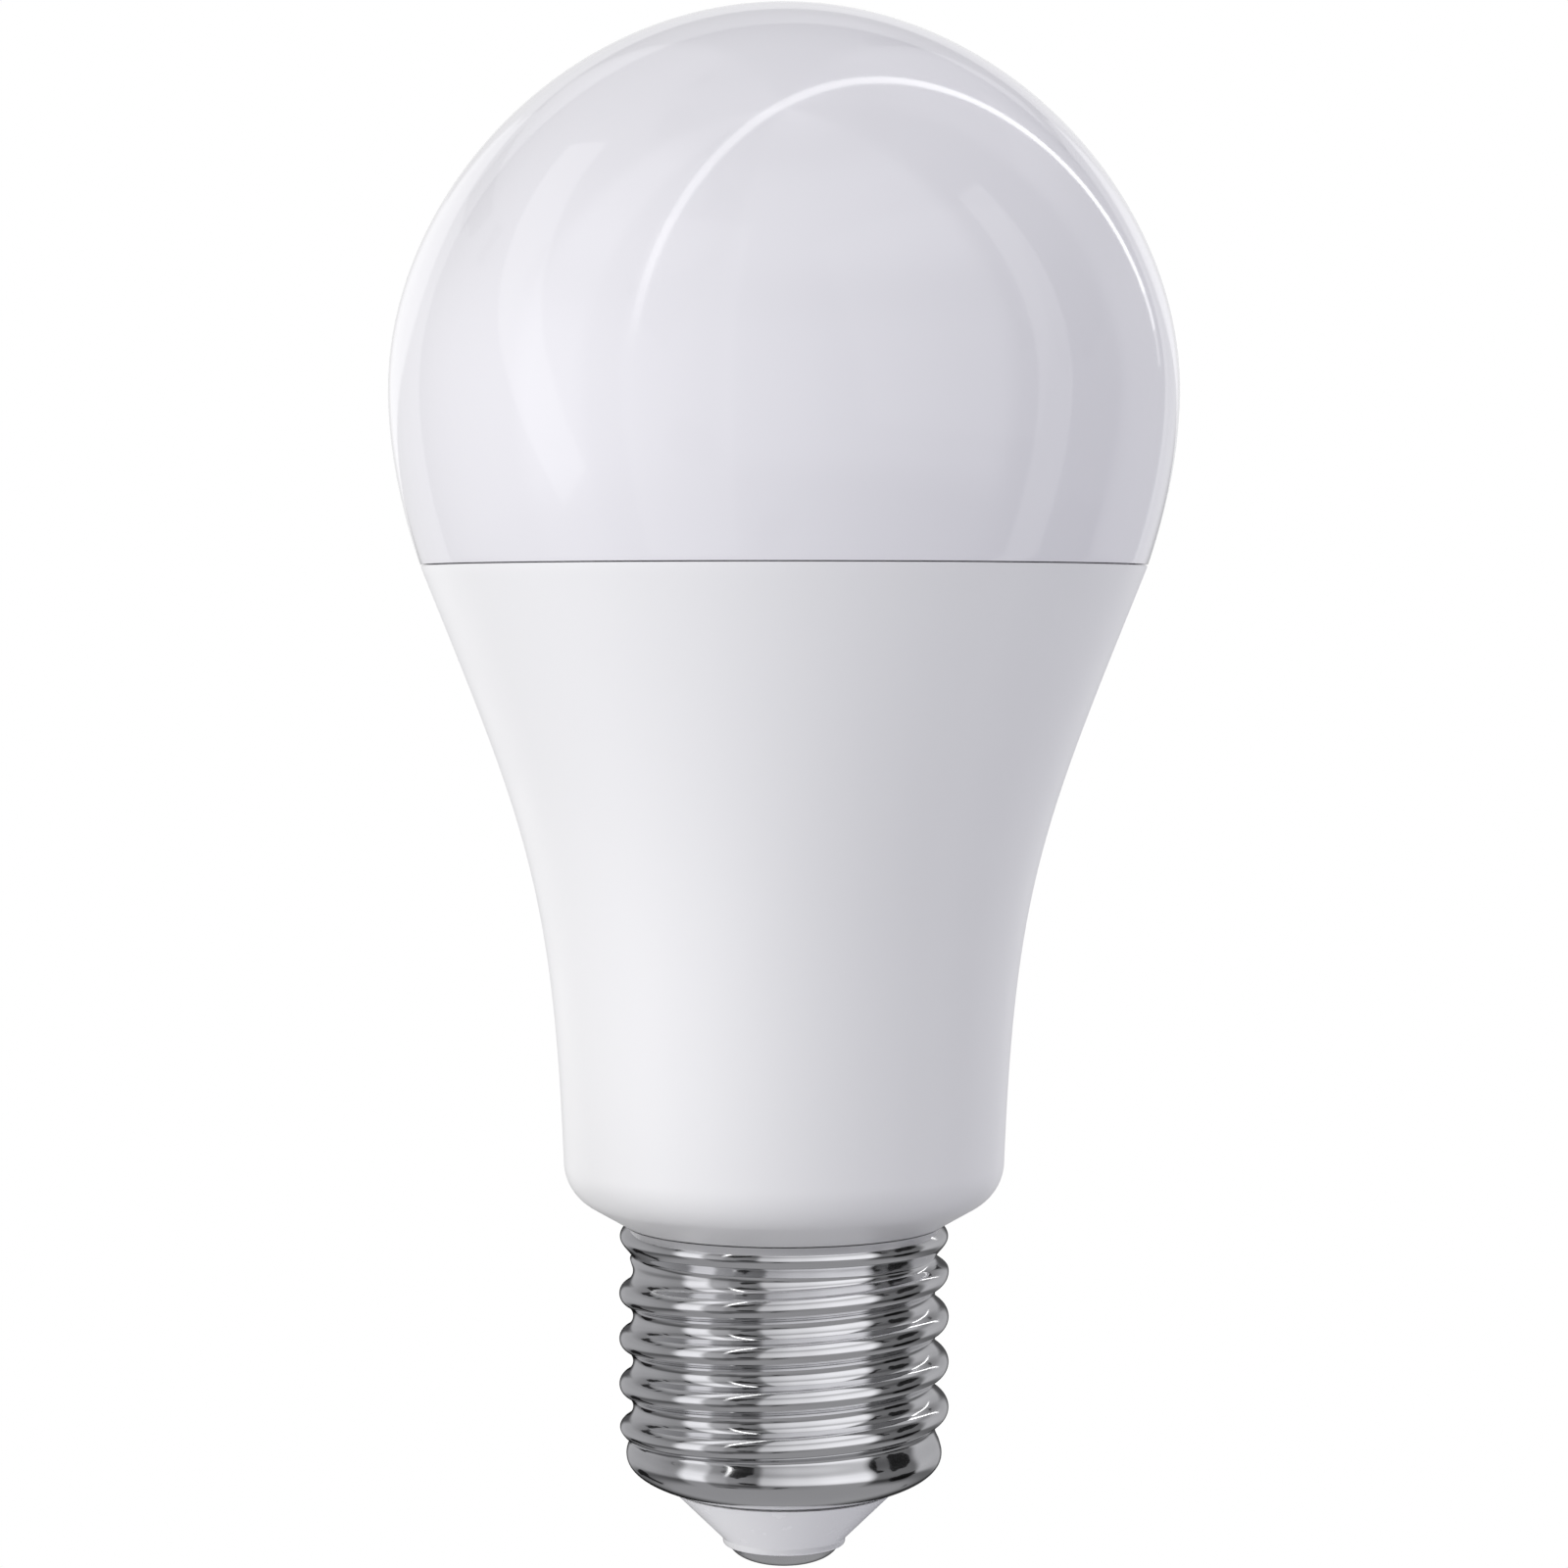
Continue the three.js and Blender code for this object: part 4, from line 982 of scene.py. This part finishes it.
def add_world():
    """White behind the lamp, a soft studio for its shading, and cards for its reflections."""
    world = bpy.data.worlds.new("studio")
    bpy.context.scene.world = world
    world.use_nodes = True
    tree = world.node_tree
    tree.nodes.clear()
    direction = new_node(tree, "TexCoord").outputs["Generated"]
    split = new_node(tree, "SeparateXYZ", {"Vector": direction})
    towards_camera = maths(tree, "MULTIPLY", split.outputs["Y"], -1.0)
    azimuth = maths(tree, "ARCTAN2", split.outputs["X"], towards_camera)
    around = maths(tree, "ADD", maths(tree, "DIVIDE", azimuth, 2 * math.pi), 0.5)
    elevation = maths(tree, "ARCSINE", split.outputs["Z"])
    height = maths(tree, "ADD", maths(tree, "DIVIDE", elevation, math.pi), 0.5)

    def by_azimuth(stops):
        return ramp(tree, around, [((angle + 180) / 360, grey(*light)) for angle, *light in stops])

    def by_height(stops):
        return ramp(tree, height, [((angle + 90) / 180, grey(*light)) for angle, *light in stops])

    def background(colour, strength=1.0):
        return new_node(tree, "Background", {"Color": colour, "Strength": strength}).outputs[0]

    side = by_azimuth([(angle, value / SOFT_STRENGTH, cool) for angle, value, cool in SOFT_LIGHT])
    soft = mixed(tree, 1.0, side, by_height(SOFT_BY_HEIGHT), "MULTIPLY")
    side = by_azimuth([(angle, value, MIRRORED_COOLNESS) for angle, value in MIRRORED])
    cards = mixed(tree, 1.0, side, by_height(MIRRORED_BY_HEIGHT), "MULTIPLY")
    mirrored = mixed(tree, by_height(FLOOR_SHARE), cards, MIRRORED_FLOOR)

    rays = new_node(tree, "LightPath")
    by_gloss = new_node(tree, "MixShader", {
        "Fac": rays.outputs["Is Glossy Ray"],
        1: background(soft, SOFT_STRENGTH),
        2: background(mirrored, cluttered(tree, direction, mirrored))})
    by_camera = new_node(tree, "MixShader", {
        "Fac": rays.outputs["Is Camera Ray"],
        1: by_gloss.outputs["Shader"],
        2: background((1.0, 1.0, 1.0, 1.0))})
    new_node(tree, "OutputWorld", {"Surface": by_camera.outputs["Shader"]})


# Softboxes that only some pieces see: where they stand (azimuth, elevation), their width, height
# and tilt, all in degrees, their brightness, who sees them, and their shape if not a rectangle.
# They only show as reflections, but the last also lights its piece.
WHITE_PARTS = ("opal_dome", "flared_housing")
CARDS = {
    "backdrop_wide": ((187, 2), (90, 92, 0), 0.42, WHITE_PARTS, "ELLIPSE"),
    "backdrop": ((187, 2), (82, 84, 0), 0.72, WHITE_PARTS, "ELLIPSE"),
    "backdrop_core": ((187, 2), (74, 76, 0), 0.62, WHITE_PARTS, "ELLIPSE"),
    "crown_glow": ((186, 15), (72, 36, 0), 0.4, ("opal_dome",), "ELLIPSE"),
    "left_strip": ((-83, 18), (15, 82, 27), 0.7, ("opal_dome",)),
    "front_fill": ((-30, 5), (32, 90, 0), 0.38, WHITE_PARTS),
    "right_edge": ((82, 5), (13, 90, 0), 0.75, WHITE_PARTS),
    "right_rim": ((128, 0), (34, 90, 0), 0.10, WHITE_PARTS),
    "body_rim_right": ((128, 0), (34, 90, 0), 0.38, ("flared_housing",)),
    "body_rim_left": ((-140, 0), (30, 90, 0), 0.3, ("flared_housing",)),
    "right_fill": ((50, 20), (60, 60, 0), 0.23, ("opal_dome",), "RECTANGLE", True),
}


def sky_direction(azimuth, elevation):
    """Unit vector for a studio direction; azimuth 0 is towards the photographer."""
    a, e = math.radians(azimuth), math.radians(elevation)
    return Vector((math.sin(a) * math.cos(e), -math.cos(a) * math.cos(e), math.sin(e)))


def seen_directly_only(lamp):
    """Keeps a lamp's mirror image from being thrown on to matt pieces as bright flecks."""
    lamp.use_nodes = True
    tree = lamp.node_tree
    direct = maths(tree, "LESS_THAN", new_node(tree, "LightPath").outputs["Diffuse Depth"], 0.5)
    feed(tree, tree.nodes["Emission"], {"Strength": direct})


def add_card(name, place, spread, brightness, seen_by, shape="RECTANGLE", lights=False):
    """A softbox one metre from the dome that only the pieces named can see."""
    direction = sky_direction(*place)
    lamp = bpy.data.lights.new(name, "AREA")
    lamp.shape = shape
    lamp.size = 2 * math.tan(math.radians(spread[0]) / 2)
    lamp.size_y = 2 * math.tan(math.radians(spread[1]) / 2)
    fill = math.pi / 4 if shape == "ELLIPSE" else 1.0
    lamp.energy = brightness * math.pi * lamp.size * lamp.size_y * fill
    card = bpy.data.objects.new(name, lamp)
    card.location = STUDIO_CENTRE + direction
    across = Vector((math.cos(math.radians(place[0])), math.sin(math.radians(place[0])), 0.0))
    facing = Matrix((across, direction.cross(across), direction)).transposed()
    card.rotation_euler = (facing @ Matrix.Rotation(math.radians(spread[2]), 3, "Z")).to_euler()
    card.visible_camera = False
    card.visible_diffuse = lights
    if not lights:
        seen_directly_only(lamp)
    receivers = bpy.data.collections.new(name + "_receivers")
    for piece in seen_by:
        receivers.objects.link(bpy.data.objects[piece])
    card.light_linking.receiver_collection = receivers
    bpy.context.scene.collection.objects.link(card)


ARCH_HEADING = -43
ARCH_FROM = 2
ARCH_TO = 179
ARCH_CARDS = 40
ARCH_WIDTH = 2.4
ARCH_BRIGHTNESS = 3.2
ARCH_FADE_IN = (0.02, 0.22)
ARCH_FADE_OUT = (0.88, 0.99)
ARCH_SEEN_BY = ("opal_dome", "nickel_screw_shell")


def add_arch():
    """A thin light tube arched overhead, in short lengths, which shows as a fine line."""
    length = (ARCH_TO - ARCH_FROM) / ARCH_CARDS
    for at in range(ARCH_CARDS):
        share = (at + 0.5) / ARCH_CARDS
        fade = smoothstep(share, *ARCH_FADE_IN) * (1 - smoothstep(share, *ARCH_FADE_OUT))
        place = (ARCH_HEADING, lerp(ARCH_FROM, ARCH_TO, share))
        spread = (ARCH_WIDTH, length, 0)
        add_card(f"arch_{at + 1}", place, spread, ARCH_BRIGHTNESS * fade, ARCH_SEEN_BY)


def floor_paper():
    """White paper lit evenly, so that it stays as plain as the background."""
    material = bpy.data.materials.new("floor_paper")
    material.use_nodes = True
    tree = material.node_tree
    tree.nodes.clear()
    emission = new_node(tree, "Emission")
    new_node(tree, "OutputMaterial", {"Surface": emission.outputs["Emission"]})
    return material


FLAG_INNER = 17 * MM
FLAG_OUTER = 38 * MM
FLAG_HEIGHT = 8 * MM
FLAG_TO_LEFT = 5 * MM
FLAG_THICKNESS = 0.5 * MM


def add_flag():
    """A black ring, unseen, that keeps light from below off the body's underside."""
    bm = bmesh.new()
    foot = -FLAG_THICKNESS
    edges = [(FLAG_INNER, 0.0), (FLAG_OUTER, 0.0), (FLAG_OUTER, foot), (FLAG_INNER, foot)]
    add_loft(bm, [ring(r, z) for r, z in edges], capped=False)
    flag = finish_mesh("light_flag", bm)
    flag.location = (-FLAG_TO_LEFT, 0.0, FLAG_HEIGHT)
    paper = procedural(
        "black_card", [(0.010, 0.010, 0.010), (0.016, 0.016, 0.016)], 20 * MM, (0.8, 0.9),
        grain=0.5 * MM, bump=0.01 * MM)
    flag.data.materials.append(paper)
    flag.visible_camera = False
    flag.visible_glossy = False


def add_floor():
    """A plain white floor, far enough down that the held lamp casts no shadow in view."""
    bm = bmesh.new()
    bmesh.ops.create_grid(bm, x_segments=1, y_segments=1, size=FLOOR_HALF)
    floor = finish_mesh("floor", bm)
    floor.location.z = -FLOOR_DROP
    floor.data.materials.append(floor_paper())
    floor.visible_diffuse = False
    floor.visible_glossy = False


# ---- assembly ----

def stand_for(piece, node, slot, *materials):
    """Puts a detailed piece in a CAD node's place, with its finish."""
    for material in materials:
        piece.data.materials.append(material)
    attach(piece, BODY)
    if node:
        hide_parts(node)


def refinish(material, *nodes):
    """Gives CAD nodes that are shown as they are their procedural finish."""
    for node in nodes:
        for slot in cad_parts[node].material_slots:
            slot.material = material


# Finishes of the CAD nodes that are shown as they are.
REFINISHED = {
    "clear_silicone": ["dome_adhesive"],
    "drawn_aluminium": ["heat_sink_cup"],
    "thermal_grease": ["thermal_grease"],
    "white_led_board": ["led_board"],
    "green_circuit_board": ["driver_board", "wireless_module_board"],
    "ferrite": ["transformer_core"],
    "heat_shrink": ["fuse_sleeve"],
    "red_wire": ["live_wire"],
    "black_wire": ["neutral_wire"],
}
# Chips: their node, leads on each side, lead pitch and lead width.
CHIPS = [
    ("bridge_rectifier", 2, 5.08 * MM, 0.9 * MM),
    ("driver_ic", 4, 1.27 * MM, 0.42 * MM),
    ("led_driver_ic", 8, 1.27 * MM, 0.42 * MM),
]
# Windings: their node, corner radius, half the bore's width and the wire's thickness.
WINDINGS = [
    ("transformer_winding", 2.6 * MM, 1.8 * MM, 0.5 * MM),
    ("choke_winding", 3.0 * MM, 1.9 * MM, 0.36 * MM),
]
# Headers: their node, the pins' direction, and how far the bar is inset from the low and high
# corners of the node's box, in mm.
PIN_HEADERS = [
    ("module_pin_header", "Y", (0.0, 1.2, 0.0), (0.0, 1.2, 0.0)),
    ("led_pin_header", "Z", (0.0, 0.0, 0.0), (0.0, 0.0, 6.1)),
]


def add_inside():
    """Every part inside the lamp, as a detailed piece or as its CAD node with a finish."""
    finish = {name: inside_finish(name) for name in INSIDE_FINISHES}
    finish["green_circuit_board"] = green_circuit_board()
    tin = finish["tinned_steel"]
    for name, nodes in REFINISHED.items():
        refinish(finish[name], *nodes)

    def stand_in(piece, node, slot, *others):
        """Puts a piece in a node's place, in its slot's finish and any others."""
        stand_for(piece, node, slot, finish[slot], *others)

    for colour in ("cool", "warm"):
        slot = colour + "_phosphor"
        for at in range(1, 7):
            node = f"{colour}_white_led_{at}"
            stand_for(white_led_piece(node), node, slot, finish["white_led_frame"], finish[slot], tin)
    dies = (finish["red_die"], finish["green_die"], finish["blue_die"])
    for at in range(1, 5):
        node = f"rgb_led_{at}"
        stand_in(rgb_led_piece(node), node, "rgb_package", finish["clear_gel"], tin, *dies)
    for node in ("board_screw_1", "board_screw_2"):
        stand_in(board_screw_piece(node), node, "zinc_screw")

    for node, leads, pitch, width in CHIPS:
        stand_in(chip_piece(node, leads, pitch, width), node, "black_epoxy", tin)
    for node in ("input_capacitor", "output_capacitor"):
        stand_in(capacitor_piece(node), node, "capacitor_sleeve", finish["capacitor_lid"])
    for node, *sizes in WINDINGS:
        stand_in(wound_coil(node, *sizes), node, "copper_winding")
    stand_in(drum_core_piece("choke_core"), "choke_core", "ferrite")
    stand_in(varistor_piece("varistor"), "varistor", "blue_epoxy")
    stand_in(fuse_piece("fuse_resistor"), "fuse_resistor", "resistor_body", tin)
    stand_in(shield_can_piece("wireless_shield_can"), "wireless_shield_can", "tinned_steel")
    stand_in(antenna_piece(), None, "copper_winding")
    stand_in(driver_solder_piece(), None, "tinned_steel")
    for node, *shape in PIN_HEADERS:
        stand_in(pin_header_piece(node, *shape), node, "black_epoxy", tin)


add_camera()
add_world()
add_floor()
add_flag()

stand_for(dome_piece(), "diffuser_dome", "opal_diffuser", opal_diffuser())
stand_for(housing_piece(), "outer_housing", "white_housing", white_housing())
stand_for(shell_piece(), "screw_shell", "nickel_shell", nickel_shell())
stand_for(insulator_piece(), "cap_insulator", "white_insulator", white_insulator())
stand_for(contact_piece(), "centre_contact", "nickel_contact", nickel_contact())
add_inside()

for card_name, card in CARDS.items():
    add_card(card_name, *card)
add_arch()

bpy.context.scene.view_settings.view_transform = "Standard"
